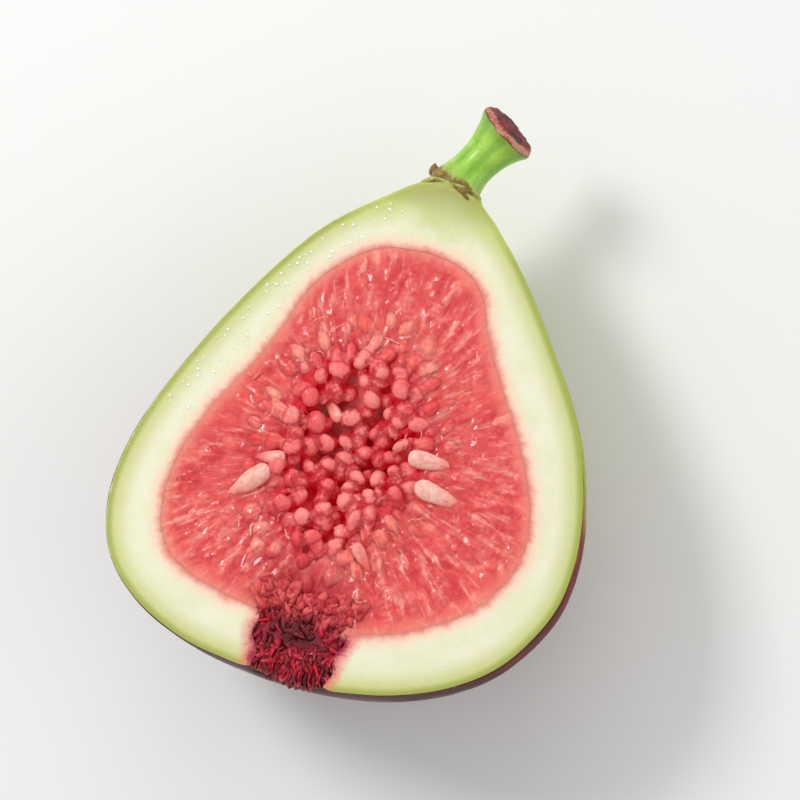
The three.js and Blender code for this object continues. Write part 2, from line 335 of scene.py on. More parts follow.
def close_and_orient(piece: Piece, reach: float = 1e-3) -> None:
    """Merge doubled vertices of a piece and turn all its faces outwards.

    Args:
        piece: The piece.
        reach: How far apart two vertices may lie that are merged.
    """
    edit_all(piece)
    bpy.ops.mesh.remove_doubles(threshold=reach)
    bpy.ops.mesh.normals_make_consistent(inside=False)
    bpy.ops.object.mode_set(mode="OBJECT")


def dress(piece: Piece, material: Material) -> Piece:
    """Give a piece its material and shade it smooth.

    Args:
        piece: The piece.
        material: The material.

    Returns:
        The piece.
    """
    piece.data.materials.append(material)
    pick(piece)
    bpy.ops.object.shade_smooth()
    return piece


def hand_over(piece: Piece, slot: Slot) -> None:
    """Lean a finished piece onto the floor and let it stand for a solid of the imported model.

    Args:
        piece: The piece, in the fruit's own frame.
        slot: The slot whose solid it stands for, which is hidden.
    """
    piece.data.transform(LIE)
    points = points_of(piece)
    points[:, 2] = np.maximum(points[:, 2], 0.0)  # what would sink into the floor is pressed flat
    set_points(piece, points)
    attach(piece, "root")
    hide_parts(slot.value)


# ------------------------------ shader helpers


def tint(red: int, green: int, blue: int) -> tuple[float, float, float, float]:
    """Turn a colour of 0 to 255 as a screen shows it into the light that a shader works with."""
    share = np.array([red, green, blue]) / 255.0
    return (*np.where(share <= 0.04045, share / 12.92, ((share + 0.055) / 1.055) ** 2.4), 1.0)


def sign(operation: str, wire_last: bool = False) -> Callable[[Wire, Wire | float], Wire]:
    """Make the method of Wire for one of Python's signs.

    Args:
        operation: What its Math node does.
        wire_last: Whether the wire stands behind the sign.

    Returns:
        The method.
    """

    def method(wire: Wire, other: Wire | float) -> Wire:
        """Add the Math node."""
        values = (other, wire) if wire_last else (wire, other)
        return wire.paint.math(operation, *values)

    return method


class Wire:
    """The output of a node, which takes part in Python sums and adds the Math nodes for them."""

    __add__ = __radd__ = sign("ADD")
    __sub__ = sign("SUBTRACT")
    __rsub__ = sign("SUBTRACT", wire_last=True)
    __mul__ = __rmul__ = sign("MULTIPLY")
    __truediv__ = sign("DIVIDE")

    def __init__(self, paint: Paint, socket: bpy.types.NodeSocket) -> None:
        """Hold a socket and the paint that it belongs to."""
        self.paint = paint
        self.socket = socket

    def ease(self, low: float, high: float) -> Wire:
        """Ease from 0 at one value to 1 at another, or back where they are given the other way round."""
        inputs = {"Value": self, "From Min": low, "From Max": high}
        return self.paint.node("MapRange", inputs, interpolation_type="SMOOTHSTEP")


class Paint:
    """The node tree of one material."""

    def __init__(self, name: str) -> None:
        """Start an empty material.

        Args:
            name: Its name.
        """
        self.material = bpy.data.materials.new(name)
        self.material.use_nodes = True
        self.tree = self.material.node_tree
        self.tree.nodes.clear()

    def node(self, kind: str, inputs: dict, output: int | str = 0, **settings: object) -> Wire:
        """Add any node.

        Args:
            kind: The node's type without its ShaderNode prefix.
            inputs: A value or a wire for each socket, by name or number.
            output: The output to return.
            settings: The node's own settings, set before its sockets are fed.

        Returns:
            The chosen output.
        """
        made = self.tree.nodes.new("ShaderNode" + kind)
        for key, value in settings.items():
            setattr(made, key, value)
        for key, value in inputs.items():
            if isinstance(value, Wire):
                self.tree.links.new(value.socket, made.inputs[key])
            else:
                made.inputs[key].default_value = value
        return Wire(self, made.outputs[output] if made.outputs else None)

    def math(self, operation: str, *values: Wire | float) -> Wire:
        """Add a Math node."""
        return self.node("Math", dict(enumerate(values)), operation=operation)

    def combine(self, *values: Wire) -> Wire:
        """Join three numbers in a vector."""
        return self.node("CombineXYZ", dict(enumerate(values)))

    def split(self, place: Wire) -> tuple[Wire, ...]:
        """Split a vector in its three numbers."""
        numbers = self.node("SeparateXYZ", {0: place}).socket.node.outputs
        return tuple(Wire(self, number) for number in numbers)

    def mix(self, share: Wire | float, first: Wire | tuple, second: Wire | tuple) -> Wire:
        """Mix two colours by a share."""
        return self.node("Mix", {0: share, 6: first, 7: second}, 2, data_type="RGBA")

    def layers(self, colour: Wire | tuple, *coats: tuple[Wire, Wire | tuple]) -> Wire:
        """Lay colours over one another.

        Args:
            colour: The lowest colour.
            coats: The cover and the colour of each coat, from the lowest up.

        Returns:
            The colour that shows.
        """
        for cover, top in coats:
            colour = self.mix(cover, colour, top)
        return colour

    def noise(self, place: Wire, scale: float, detail: float, rough: float) -> Wire:
        """Add soft noise between 0 and 1."""
        return self.node("TexNoise", {"Vector": place, "Scale": scale, "Detail": detail, "Roughness": rough})

    def cells(self, place: Wire, scale: float) -> Wire:
        """Add the distance to the nearest of scattered points."""
        return self.node("TexVoronoi", {"Vector": place, "Scale": scale})

    def attributes(self, *names: str) -> tuple[Wire, ...]:
        """Read numbers that the mesh holds for each vertex."""
        return tuple(self.node("Attribute", {}, "Fac", attribute_name=name) for name in names)

    def fruit_place(self) -> Wire:
        """Return the point in the fruit's own frame, in millimetres."""
        inputs = {"Location": SEAT, "Rotation": (-LEAN_BACK, 0.0, 0.0), "Scale": (MM, MM, MM)}
        inputs["Vector"] = self.node("TexCoord", {}, "Object")
        return self.node("Mapping", inputs, vector_type="TEXTURE")

    def away(self, across: Wire, along: Wire) -> Wire:
        """Return how far a point lies from the middle of a plane."""
        return self.math("SQRT", across * across + along * along)

    def ray(self, across: Wire, along: Wire, radius: float) -> tuple[Wire, Wire, Wire]:
        """Return where a point's ray from the middle meets a circle, and how far out the point lies."""
        reach = self.math("MAXIMUM", self.away(across, along), 0.5)
        return across / reach * radius, along / reach * radius, reach

    def bump(self, height: Wire, depth: float) -> Wire:
        """Turn a height into a normal, for a height of 1 that stands a depth in millimetres high."""
        return self.node("Bump", {"Height": height, "Distance": depth * MM, "Strength": 1.0})

    def finish(self, **sockets: Wire | tuple | float) -> Material:
        """Close the material with one Principled shader.

        Args:
            sockets: What feeds the shader's sockets, by their names in small letters.

        Returns:
            The material.
        """
        inputs = {name.replace("_", " ").title().replace("Ior", "IOR"): fed for name, fed in sockets.items()}
        shader = self.node("BsdfPrincipled", inputs, subsurface_method="RANDOM_WALK")
        self.node("OutputMaterial", {"Surface": shader})
        return self.material


# ------------------------------ the fruit's form


@dataclass(frozen=True)
class Shell:
    """One surface of the fruit, turned from an outline and open at the eye, in millimetres."""

    outline: tuple  # radius and distance along the axis
    midline: tuple  # distance along the axis and sideways drift
    eye_x: float  # the middle of the eye, where its lip lies
    lip_width: float  # how far round the lip the eye's own place counts

    def drift(self, radius: Array, y: Array) -> Array:
        """Measure the sideways drift of the surface.

        Args:
            radius: Distances from the axis.
            y: Distances along it.

        Returns:
            The drift at each place.
        """
        path = smooth_path(self.midline, 160)
        lip = self.outline[0][0]
        at_lip = (1.0 - smooth_step(lip, lip + self.lip_width, radius)) * (y < 0)
        return np.interp(y, path[:, 0], path[:, 1]) * (1.0 - at_lip) + self.eye_x * at_lip

    def rim(self, count: int = 120) -> Array:
        """Trace the surface's edge in the knife's plane.

        Args:
            count: How many points each side has.

        Returns:
            The points, as rows of x and y, from one lip of the eye round to the other.
        """
        radius, y = smooth_path(self.outline, count).T
        right, left = (np.column_stack([side * radius + self.drift(radius, y), y]) for side in (1, -1))
        return np.vstack([right, left[::-1][1:]])


SKIN = Shell(
    outline=(
        (3.9, -28.15), (5.6, -28.3), (11.6, -27.2), (17.6, -24.6), (22.2, -20.6), (24.8, -15.0),
        (25.3, -9.4), (24.1, -2.6), (20.8, 6.0), (16.2, 13.8), (11.4, 20.4), (6.9, 24.9),
        (3.9, 27.2), (2.9, 28.4), (0.0, 28.6),
    ),
    midline=(
        (-28.3, -2.6), (-18.9, -1.8), (-11.7, -1.0), (-2.8, -0.45), (6.1, -0.35),
        (14.5, -1.1), (20.4, -1.5), (25.0, -1.3), (28.9, -0.8),
    ),
    eye_x=-1.3,
    lip_width=5.6,
)
HOLLOW = Shell(
    outline=(
        (5.0, -22.0), (7.4, -21.6), (12.6, -20.0), (17.2, -16.4), (19.5, -10.6), (19.0, -5.0),
        (16.6, 0.8), (13.1, 7.2), (10.2, 13.2), (7.9, 17.2), (4.6, 19.8), (0.0, 20.6),
    ),
    midline=(
        (-22.0, -2.6), (-19.5, -3.4), (-16.4, -2.4), (-11.0, -1.1), (-5.0, -0.5),
        (3.4, -0.65), (8.0, -1.3), (13.3, -2.2), (17.2, -1.7), (20.8, -1.2),
    ),
    eye_x=-1.9,
    lip_width=4.0,
)


@dataclass(frozen=True)
class FruitForm:
    """The half fruit that the pieces fill, in millimetres."""

    skin: Shell = SKIN
    hollow: Shell = HOLLOW
    back_depth: float = 0.955  # depth under the knife's plane as a share of the radius
    rib_count: int = 11
    rib_height: float = 0.28
    ribbed: tuple = (-28.3, 25.7)  # the stretch of the axis that has ribs
    knife_exit: tuple = ((25.4, 0.0), (26.5, 0.9), (27.3, 2.4), (27.8, 5.0))  # distance along and height

    def knife_height(self, y: Array | float) -> Array | float:
        """Return the height of the knife's path, which leaves the fruit just short of the neck."""
        exit_y, exit_z = np.array(self.knife_exit).T
        return np.interp(y, exit_y, exit_z)


# ------------------------------ the rind


@dataclass(frozen=True)
class SkinFinish:
    """Thin glossy skin: green at the neck, streaked and then deep maroon towards the eye."""

    streaks: float = 9.0  # how closely the broad streaks stand round the fruit
    lines: float = 40.0  # the same for the fine ones

    def material(self) -> Material:
        """Paint the skin.

        Returns:
            The material.
        """
        paint = Paint("fig_skin")
        place = paint.fruit_place()
        x, y, z = paint.split(place)
        round_x, round_z, _ = paint.ray(x, z, self.streaks)
        streaks = paint.noise(paint.combine(round_x, y * 0.09, round_z), 1.0, 5.0, 0.62)
        round_x, round_z, _ = paint.ray(x, z, self.lines)
        fine = paint.noise(paint.combine(round_x, y * 0.35, round_z), 1.0, 3.0, 0.6)
        blotch = paint.noise(place, 0.11, 3.0, 0.5)
        grain = paint.noise(place, 3.2, 3.0, 0.55)
        haze = paint.noise(place, 0.22, 4.0, 0.6).ease(0.45, 0.75)
        rust = (paint.noise(place, 0.6, 4.0, 0.6) + paint.noise(place, 2.0, 3.0, 0.6) * 0.3).ease(0.66, 0.78)
        spots = paint.cells(place, 0.42).ease(0.11, 0.06)
        ripe = y * -0.045 + 0.12 + (streaks - 0.5) * 2.4 + (blotch - 0.5) * 1.4 + (fine - 0.5) * 0.5
        colour = paint.layers(
            paint.mix(fine, tint(142, 160, 48), tint(186, 190, 84)),
            (y.ease(22.5, 26.5), tint(190, 200, 104)),
            (y.ease(26.4, 27.8) * rust * 0.8, tint(126, 84, 36)),
            (ripe.ease(-0.35, 0.3), tint(142, 112, 44)),
            (ripe.ease(0.05, 0.6), tint(126, 36, 30)),
            (ripe.ease(0.4, 1.15), tint(82, 12, 24)),
            (ripe.ease(1.0, 2.0) * 0.6, tint(44, 5, 14)),
            (spots * 0.45, tint(206, 176, 120)),
            (haze * 0.04, tint(190, 160, 185)),
        )
        off_rim = paint.attributes("skin_depth")[0].ease(1.5, 9.0)
        return paint.finish(
            base_color=colour,
            roughness=0.44 + haze * 0.16 - off_rim * 0.1,
            ior=1.4,
            specular_ior_level=0.15,
            coat_weight=off_rim * 0.7 - haze * 0.15,
            coat_roughness=0.12,
            coat_ior=1.45,
            subsurface_weight=0.1,
            subsurface_radius=(1.0, 0.45, 0.25),
            subsurface_scale=0.6 * MM,
            normal=paint.bump(grain * 0.4 + streaks * 1.0 + spots * 0.6, 0.10),
        )


@dataclass(frozen=True)
class FleshFinish:
    """Moist pale flesh: green next to the skin, cream in the middle and pink next to the pulp."""

    middle: tuple = (-2.0, -3.2)  # where its rays meet, in the knife's plane
    rays: float = 26.0  # how closely they stand

    def material(self) -> Material:
        """Paint the flesh.

        Returns:
            The material.
        """
        paint = Paint("fig_flesh")
        place = paint.fruit_place()
        x, y, _ = paint.split(place)
        skin_depth, pulp_depth, eye_depth = paint.attributes("skin_depth", "pulp_depth", "eye_depth")
        round_x, round_y, reach = paint.ray(x - self.middle[0], y - self.middle[1], self.rays)
        rays = paint.noise(paint.combine(round_x, round_y, reach * 0.5), 1.0, 3.0, 0.6)
        cloud = paint.noise(place, 0.28, 4.0, 0.6)
        fibre = paint.noise(place, 2.6, 3.0, 0.6)
        edge = skin_depth + (cloud - 0.5) * 1.4
        blush = pulp_depth + (rays - 0.5) * 1.1 + (cloud - 0.5) * 1.0
        stain = eye_depth + (fibre - 0.5) * 0.9 + (cloud - 0.5) * 3.0
        colour = paint.layers(
            paint.mix(cloud.ease(0.35, 0.7), tint(238, 236, 214), tint(230, 231, 198)),
            (fibre * 0.2, tint(210, 210, 148)),
            (edge.ease(3.2, 0.3) * 0.8, tint(194, 200, 104)),
            (skin_depth.ease(1.0, 0.2) * 0.8, tint(150, 162, 58)),
            ((y + (cloud - 0.5) * 4.0).ease(21.0, 26.5) * 0.75, tint(196, 206, 120)),
            (blush.ease(2.0, 0.4) * 0.9, tint(248, 212, 188)),
            (blush.ease(0.9, -0.2), tint(240, 132, 118)),
            (stain.ease(1.9, 0.4) * 0.75, tint(232, 112, 110)),
            (stain.ease(0.8, -0.2), tint(164, 12, 58)),
        )
        height = fibre * 0.5 + paint.cells(place, 1.9).ease(0.0, 0.6) * 0.3 + cloud * 1.4
        wet = paint.noise(place, 0.7, 2.0, 0.5).ease(0.4, 0.65)
        return paint.finish(
            base_color=colour,
            roughness=0.54 - wet * 0.12,
            specular_ior_level=0.3,
            coat_weight=0.06 + wet * 0.2,
            coat_roughness=0.14,
            subsurface_weight=0.5,
            subsurface_radius=(1.0, 0.8, 0.45),
            subsurface_scale=1.4 * MM,
            normal=paint.bump(height, 0.06),
        )


@dataclass
class Rind:
    """Skin and flesh, grown as one wall round the hollow, open at the eye."""

    form: FruitForm
    slot: Slot = Slot.RIND
    spin_steps: int = 110
    outer_steps: int = 110
    wall_steps: int = 20  # faces across the cut wall
    skin_edge: float = 0.24  # width of the skin's own cut edge
    lip_wander: float = 0.75  # how far the eye's lips stray sideways
    uneven: tuple = ((0.10, 0.13, 3.0), (0.035, 0.5, 8.0))  # waves: height, scale and seed
    crease: float = math.radians(50.0)  # sharper edges stay sharp

    def build(self) -> list[Piece]:
        """Model and dress the rind.

        Returns:
            The rind alone.
        """
        rind = self.spun_wall()
        zones = {"skin_depth": Zone.SKIN, "pulp_depth": Zone.HOLLOW, "eye_depth": Zone.PASSAGE}
        rims = {name: self.rim_edges(rind, zone) for name, zone in zones.items()}
        self.fill_cut(rind)
        depths = {name: distance_to_edges(rim, points_of(rind)) for name, rim in rims.items()}
        depths["eye_depth"][self.inside(rind, Zone.PASSAGE)] = 0.0
        store(rind, **depths)
        for finish in (SkinFinish(), FleshFinish()):
            rind.data.materials.append(finish.material())
        self.round_edges(rind)
        self.roughen(rind)
        pick(rind)
        bpy.ops.object.shade_smooth_by_angle(angle=self.crease)
        return [rind]

    def inside(self, rind: Piece, zone: Zone) -> Array:
        """Return whether each vertex belongs to a zone."""
        return np.abs(stored(rind, "zone") - zone.value) < 0.01

    def spun_wall(self) -> Piece:
        """Spin the wall's outline half a turn, drift it sideways, and close it round the neck.

        Returns:
            The wall, still open where the knife went.
        """
        skin, hollow = self.form.skin, self.form.hollow
        outer = smooth_path(skin.outline, self.outer_steps + 1)
        opening = self.opening_angle(outer)
        inner = smooth_path(hollow.outline, int(np.sum(opening < math.pi / 2 - 1e-6)) + 1)
        lip = np.linspace(outer[0], inner[0], self.wall_steps + 1)[1:]
        profile = np.vstack([outer[::-1], lip, inner[1:]])
        rind = pull_chain("fig_rind", profile)
        bpy.ops.object.mode_set(mode="OBJECT")
        lip_drift = np.linspace(skin.eye_x, hollow.eye_x, self.wall_steps + 1)[1:]
        drifts = [skin.drift(*outer.T)[::-1], lip_drift, hollow.drift(*inner[1:].T)]
        zones = [Zone.SKIN] * len(outer) + [Zone.PASSAGE] * (len(lip) - 1) + [Zone.HOLLOW] * len(inner)
        swing = np.pad(opening[::-1], (0, len(profile) - len(outer)))
        store(rind, drift=np.concatenate(drifts), swing=swing, zone=np.array([zone.value for zone in zones]))
        edit_all(rind)
        bpy.ops.mesh.spin(steps=self.spin_steps, angle=math.pi, center=(0, 0, 0), axis=(0, -1, 0))
        bpy.ops.object.mode_set(mode="OBJECT")
        self.bend(rind)
        close_and_orient(rind)
        return rind

    def opening_angle(self, outer: Array) -> Array:
        """Work out how far past level the skin goes round, where the knife leaves the neck whole.

        Args:
            outer: The skin's outline, as rows of radius and distance along the axis.

        Returns:
            The angle at each of its points, in radians.
        """
        radius, y = outer.T
        share = self.form.knife_height(y) / np.maximum(radius * self.form.back_depth, 1e-3)
        return np.arcsin(np.clip(share, 0.0, 1.0))

    def bend(self, rind: Piece) -> None:
        """Swing the rings round the neck, give them ribs, and move them along the leaning axis.

        Args:
            rind: The spun wall.
        """
        form = self.form
        x, y, z = points_of(rind).T
        swing, drift, zone = (stored(rind, name) for name in ("swing", "drift", "zone"))
        angle = np.arctan2(-z, x)
        angle = np.where(angle < -math.pi / 2, angle + FULL_TURN, angle)
        angle = angle * (math.pi + 2 * swing) / math.pi - swing
        radius = np.hypot(x, z)
        first, last = form.ribbed
        fade = np.sin(math.pi * np.clip((y - first) / (last - first), 0.0, 1.0))
        fade = fade * (radius > 1.0) * (zone < 0.5)
        ribs = form.rib_height * fade * np.cos(form.rib_count * np.arctan2(np.cos(angle), -np.sin(angle)))
        radius = radius + ribs
        x, z = radius * np.cos(angle) + drift, -radius * np.sin(angle) * form.back_depth
        set_points(rind, np.column_stack([x, y, z]))

    def rim_edges(self, rind: Piece, zone: Zone) -> Array:
        """Find the open edges of one zone.

        Args:
            rind: The wall.
            zone: The zone.

        Returns:
            The two ends of each edge.
        """
        select_open_edges(rind, self.inside(rind, zone))
        bpy.ops.object.mode_set(mode="OBJECT")
        points = points_of(rind)
        return np.array([points[list(edge.vertices)] for edge in rind.data.edges if edge.select])

    def fill_cut(self, rind: Piece) -> None:
        """Bridge the skin's edge and the hollow's rim with the face that the knife left.

        Args:
            rind: The wall.
        """
        before = len(rind.data.vertices)
        zone = stored(rind, "zone")
        select_open_edges(rind, ~self.inside(rind, Zone.PASSAGE))
        bpy.ops.mesh.bridge_edge_loops(number_cuts=self.wall_steps - 1, interpolation="LINEAR")
        bpy.ops.object.mode_set(mode="OBJECT")
        points = points_of(rind)
        fresh = np.arange(len(points)) >= before
        points[:, 2] = np.where(fresh, self.form.knife_height(points[:, 1]), points[:, 2])
        set_points(rind, points)
        store(rind, zone=np.where(fresh, Zone.CUT.value, np.pad(zone, (0, len(points) - before))))
        close_and_orient(rind)

    def round_edges(self, rind: Piece) -> None:
        """Give the skin its thin cut edge, which also rounds the lips of the eye a little.

        Args:
            rind: The closed rind, with the skin's material first.
        """
        skin, flesh = 0, 1
        on_skin = self.inside(rind, Zone.SKIN)
        outside = [all(on_skin[v] for v in face.vertices) for face in rind.data.polygons]
        rind.data.polygons.foreach_set("material_index", [skin if is_skin else flesh for is_skin in outside])
        select_edges(rind, lambda ends, faces: len(faces) == 2 and outside[faces[0]] != outside[faces[1]])
        bpy.ops.mesh.bevel(
            offset=self.skin_edge, segments=2, affect="EDGES", material=skin, clamp_overlap=True
        )
        bpy.ops.object.mode_set(mode="OBJECT")

    def roughen(self, rind: Piece) -> None:
        """Make the eye's passage, the skin and the cut a little uneven, as grown and sliced.

        Args:
            rind: The rind.
        """
        points = points_of(rind)
        by_eye = 1.0 - smooth_step(0.0, 3.0, stored(rind, "eye_depth"))
        side = np.where(points[:, 0] > self.form.skin.eye_x, 5.0, 0.0)
        along_eye = np.column_stack([side, points[:, 1], 0.2 * points[:, 2]])
        points[:, 0] += self.lip_wander * by_eye * ripple(along_eye, 0.55, 12.0)
        set_points(rind, points)
        swell(rind, ripples(points, *self.uneven) * smooth_step(0.2, 2.0, stored(rind, "pulp_depth")))


# ------------------------------ repeated small shapes


def turned(name: str, outline: Sequence[Sequence[float]], rings: int, sides: int) -> Piece:
    """Turn an outline into a closed round shape along +Y.

    Args:
        name: The new object's name.
        outline: Points with radius and distance along, from end to end.
        rings: How many rings the shape has.
        sides: Faces round it.

    Returns:
        The shape, which holds how far along each vertex lies as "along", from 0 to 1.
    """
    profile = smooth_path(outline, rings)
    profile[[0, -1], 0] = 0.0
    profile[:, 0] = np.maximum(profile[:, 0], 0.0)
    shape = pull_chain(name, profile)
    bpy.ops.mesh.spin(steps=sides, angle=FULL_TURN, center=(0, 0, 0), axis=(0, 1, 0), use_auto_merge=True)
    bpy.ops.object.mode_set(mode="OBJECT")
    close_and_orient(shape, 1e-4)
    low, high = profile[:, 1].min(), profile[:, 1].max()
    store(shape, along=(points_of(shape)[:, 1] - low) / (high - low))
    return shape


@dataclass(frozen=True)
class Place:
    """Where one copy of a small shape goes, how big it is, and its own shade."""

    foot: Vector
    direction: Vector
    width: float
    length: float
    turn: float
    tone: float
    flat: float = 1.0  # thickness as a share of its width

    def matrix(self) -> Matrix:
        """Work out the move from a shape of length 1 and width 1 along +Y to this place.

        Returns:
            The move.
        """
        aim = Vector((0.0, 1.0, 0.0)).rotation_difference(self.direction).to_matrix().to_4x4()
        size = Matrix.Diagonal((self.width, self.length, self.width * self.flat, 1.0))
        return Matrix.Translation(self.foot) @ aim @ Matrix.Rotation(self.turn, 4, "Y") @ size


def set_out(name: str, shape: Piece, places: Sequence[Place]) -> Piece:
    """Copy a small shape to many places, each copy with its own mesh, and join them in one piece.

    Args:
        name: The joined piece's name.
        shape: The shape, which is removed afterwards.
        places: Where the copies go.

    Returns:
        The joined piece, which holds each copy's shade as "tone" and its number as "floret".
    """
    clear_selection()
    for number, place in enumerate(places):
        copy = bpy.data.objects.new(name, shape.data.copy())
        bpy.context.scene.collection.objects.link(copy)
        copy.data.transform(place.matrix())
        store(copy, tone=place.tone, floret=number)
        copy.select_set(True)
        if number == 0:
            bpy.context.view_layer.objects.active = copy
    bpy.ops.object.join()
    bpy.data.objects.remove(shape)
    return named(name)


# ------------------------------ the pulp


@dataclass(frozen=True)
class PulpFinish:
    """Wet, translucent florets: pale next to the flesh, coral in the cut; crimson painted shade and glow in
    the cavity's gaps.
    """

    name: str
    body: tuple = tint(234, 96, 90)
    bright: tuple = tint(248, 152, 134)
    dark: tuple = tint(204, 44, 56)
    # deep is the darkest painted shade, laid in the seams between florets and the most sunk places
    deep: tuple = tint(190, 4, 28)
    # painted glow: an emission in the sunk gaps of the open cavity, standing in for light that comes through
    # the florets
    painted_gap_glow: tuple = tint(96, 0, 7)  # light that comes through the florets into the gaps
    glow: float = 1.0  # how far red light travels inside, in millimetres
    middle: tuple = (-2.6, -3.2)  # where its streaks meet, in the knife's plane
    streaks: float = 21.0  # how closely they stand
    eye: tuple = (-2.4, -21.5)  # where it darkens towards the eye

    def material(self) -> Material:
        """Paint the florets.

        Returns:
            The material.
        """
        paint = Paint(self.name)
        place = paint.fruit_place()
        x, y, _ = paint.split(place)
        round_x, round_y, reach = paint.ray(x - self.middle[0], y - self.middle[1], self.streaks)
        streaks = paint.noise(paint.combine(round_x, round_y, reach * 0.34), 1.0, 3.0, 0.6)
        cloud = paint.noise(place, 0.4, 3.0, 0.6)
        grain = paint.noise(place, 2.0, 3.0, 0.6)
        wet = paint.noise(place, 0.9, 2.0, 0.5).ease(0.42, 0.62)
        names = ("tone", "wall_depth", "sunk", "open", "pale", "seam")
        tone, wall, sunk, opened, pale, seam = paint.attributes(*names)
        shade = tone + (cloud - 0.5) * 0.8 + (grain - 0.5) * 0.35
        rosy = paint.mix(shade.ease(0.0, 0.95), tint(216, 46, 62), tint(252, 144, 142))
        patches = (grain + (cloud - 0.5) * 0.6).ease(0.3, 0.75)
        light = paint.mix(patches, tint(246, 168, 156), tint(255, 220, 206))
        to_eye = paint.away(x - self.eye[0], y - self.eye[1]) + (cloud - 0.5) * 5.0 + (grain - 0.5) * 2.0
        fade = wall + (streaks - 0.5) * 2.4 + (cloud - 0.5) * 1.2
        colour = paint.layers(
            self.body,
            (shade.ease(0.45, 1.05), self.bright),
            (shade.ease(0.45, -0.05) * 0.8, self.dark),
            ((streaks - 0.5).ease(0.02, 0.2) * 0.65, tint(255, 188, 168)),
            ((0.5 - streaks).ease(0.02, 0.2) * 0.6, tint(208, 42, 54)),
            (opened * 0.75, rosy),
            (pale * 0.9, light),
            (to_eye.ease(9.0, 3.5) * 0.8, tint(184, 24, 50)),
            # painted shade: crimson darkening at the seams between florets and where the surface lies sunk
            # under the tops around it
            (seam.ease(0.5, 0.1) * (opened * 0.35 + 0.25), tint(192, 26, 50)),
            (seam.ease(0.25, 0.0) * (opened * 0.45 + 0.06), self.deep),
            (sunk.ease(0.15, 0.8) * (opened * 0.35 + 0.3), tint(208, 22, 44)),
            (sunk.ease(0.7, 1.6) * (opened * 0.6 + 0.2), self.deep),
            (fade.ease(1.6, -0.2) * 0.85, tint(242, 146, 130)),
        )
        return paint.finish(
            base_color=colour,
            # painted glow: the sunk places of the open cavity give off a faint red light of their own
            emission_color=paint.mix(sunk.ease(0.2, 1.1) * opened, tint(0, 0, 0), self.painted_gap_glow),
            emission_strength=1.0,
            roughness=0.36,
            ior=1.36,
            specular_ior_level=0.3,
            coat_weight=(0.15 + wet * 0.6) * wall.ease(0.5, 2.0) * sunk.ease(0.7, 0.2),
            coat_roughness=0.07,
            subsurface_weight=0.7,
            subsurface_radius=(self.glow, 0.3, 0.22),
            subsurface_scale=1.0 * MM,
            normal=paint.bump(grain * 0.9 + streaks * 0.5, 0.13),
        )


@dataclass(frozen=True)
class Cavity:
    """The hollow place in the middle of the pulp, as the knife opened it, in millimetres."""

    centre: tuple = (-2.9, -2.9)
    half_width: float = 8.4
    half_length: float = 11.8
    depth: float = 2.4
    rim_wander: float = 0.16

    def share(self, x: Array | float, y: Array | float) -> Array | float:
        """Measure how far out places lie.

        Args:
            x: Distances across.
            y: Distances along the fruit's axis.

        Returns:
            0 in the middle and 1 on the wandering rim.
        """
        across, along = (x - self.centre[0]) / self.half_width, (y - self.centre[1]) / self.half_length
        angle = np.arctan2(along, across)
        wander = 0.5 * np.sin(3 * angle + 0.7) + 0.3 * np.sin(5 * angle + 2.1) + 0.2 * np.sin(8 * angle)
        return np.hypot(across, along) / (1.0 + self.rim_wander * wander)

    def floor(self, x: Array | float, y: Array | float) -> Array | float:
        """Return the height of the pulp's surface."""
        return -0.12 - self.depth * (1.0 - smooth_step(0.2, 1.12, self.share(x, y)))

    def step(self, angle: float, share: float) -> tuple[float, float]:
        """Return the step from the middle to a share of the way to the rim, before it wanders."""
        return self.half_width * share * math.cos(angle), self.half_length * share * math.sin(angle)

    def inward(self, x: float, y: float, chance: random.Random, spread: float) -> Vector:
        """Aim from a place to the middle.

        Args:
            x: The place's distance across.
            y: Its distance along.
            chance: Where the scatter comes from.
            spread: How much the aim scatters, in radians.

        Returns:
            A level direction.
        """
        aim = Vector((self.centre[0] - x, self.centre[1] - y, 0.0)).normalized()
        aim.rotate(Euler((0.0, 0.0, chance.gauss(0.0, spread))))
        return aim


@dataclass(frozen=True)
class Melt:
    """How closed shapes that overlap melt into one body, in millimetres."""

    name: str
    cell: float  # size of the smallest hollow that stays open
    groove: float  # depth of the seams between florets
    # floor_depth sets how much of the gaps' painted shade and painted glow the open cavity's floor takes
    floor_depth: float  # how deep the floor of the open cavity counts as sunk
    thinning: float = 0.025  # how much flat stretches are thinned out


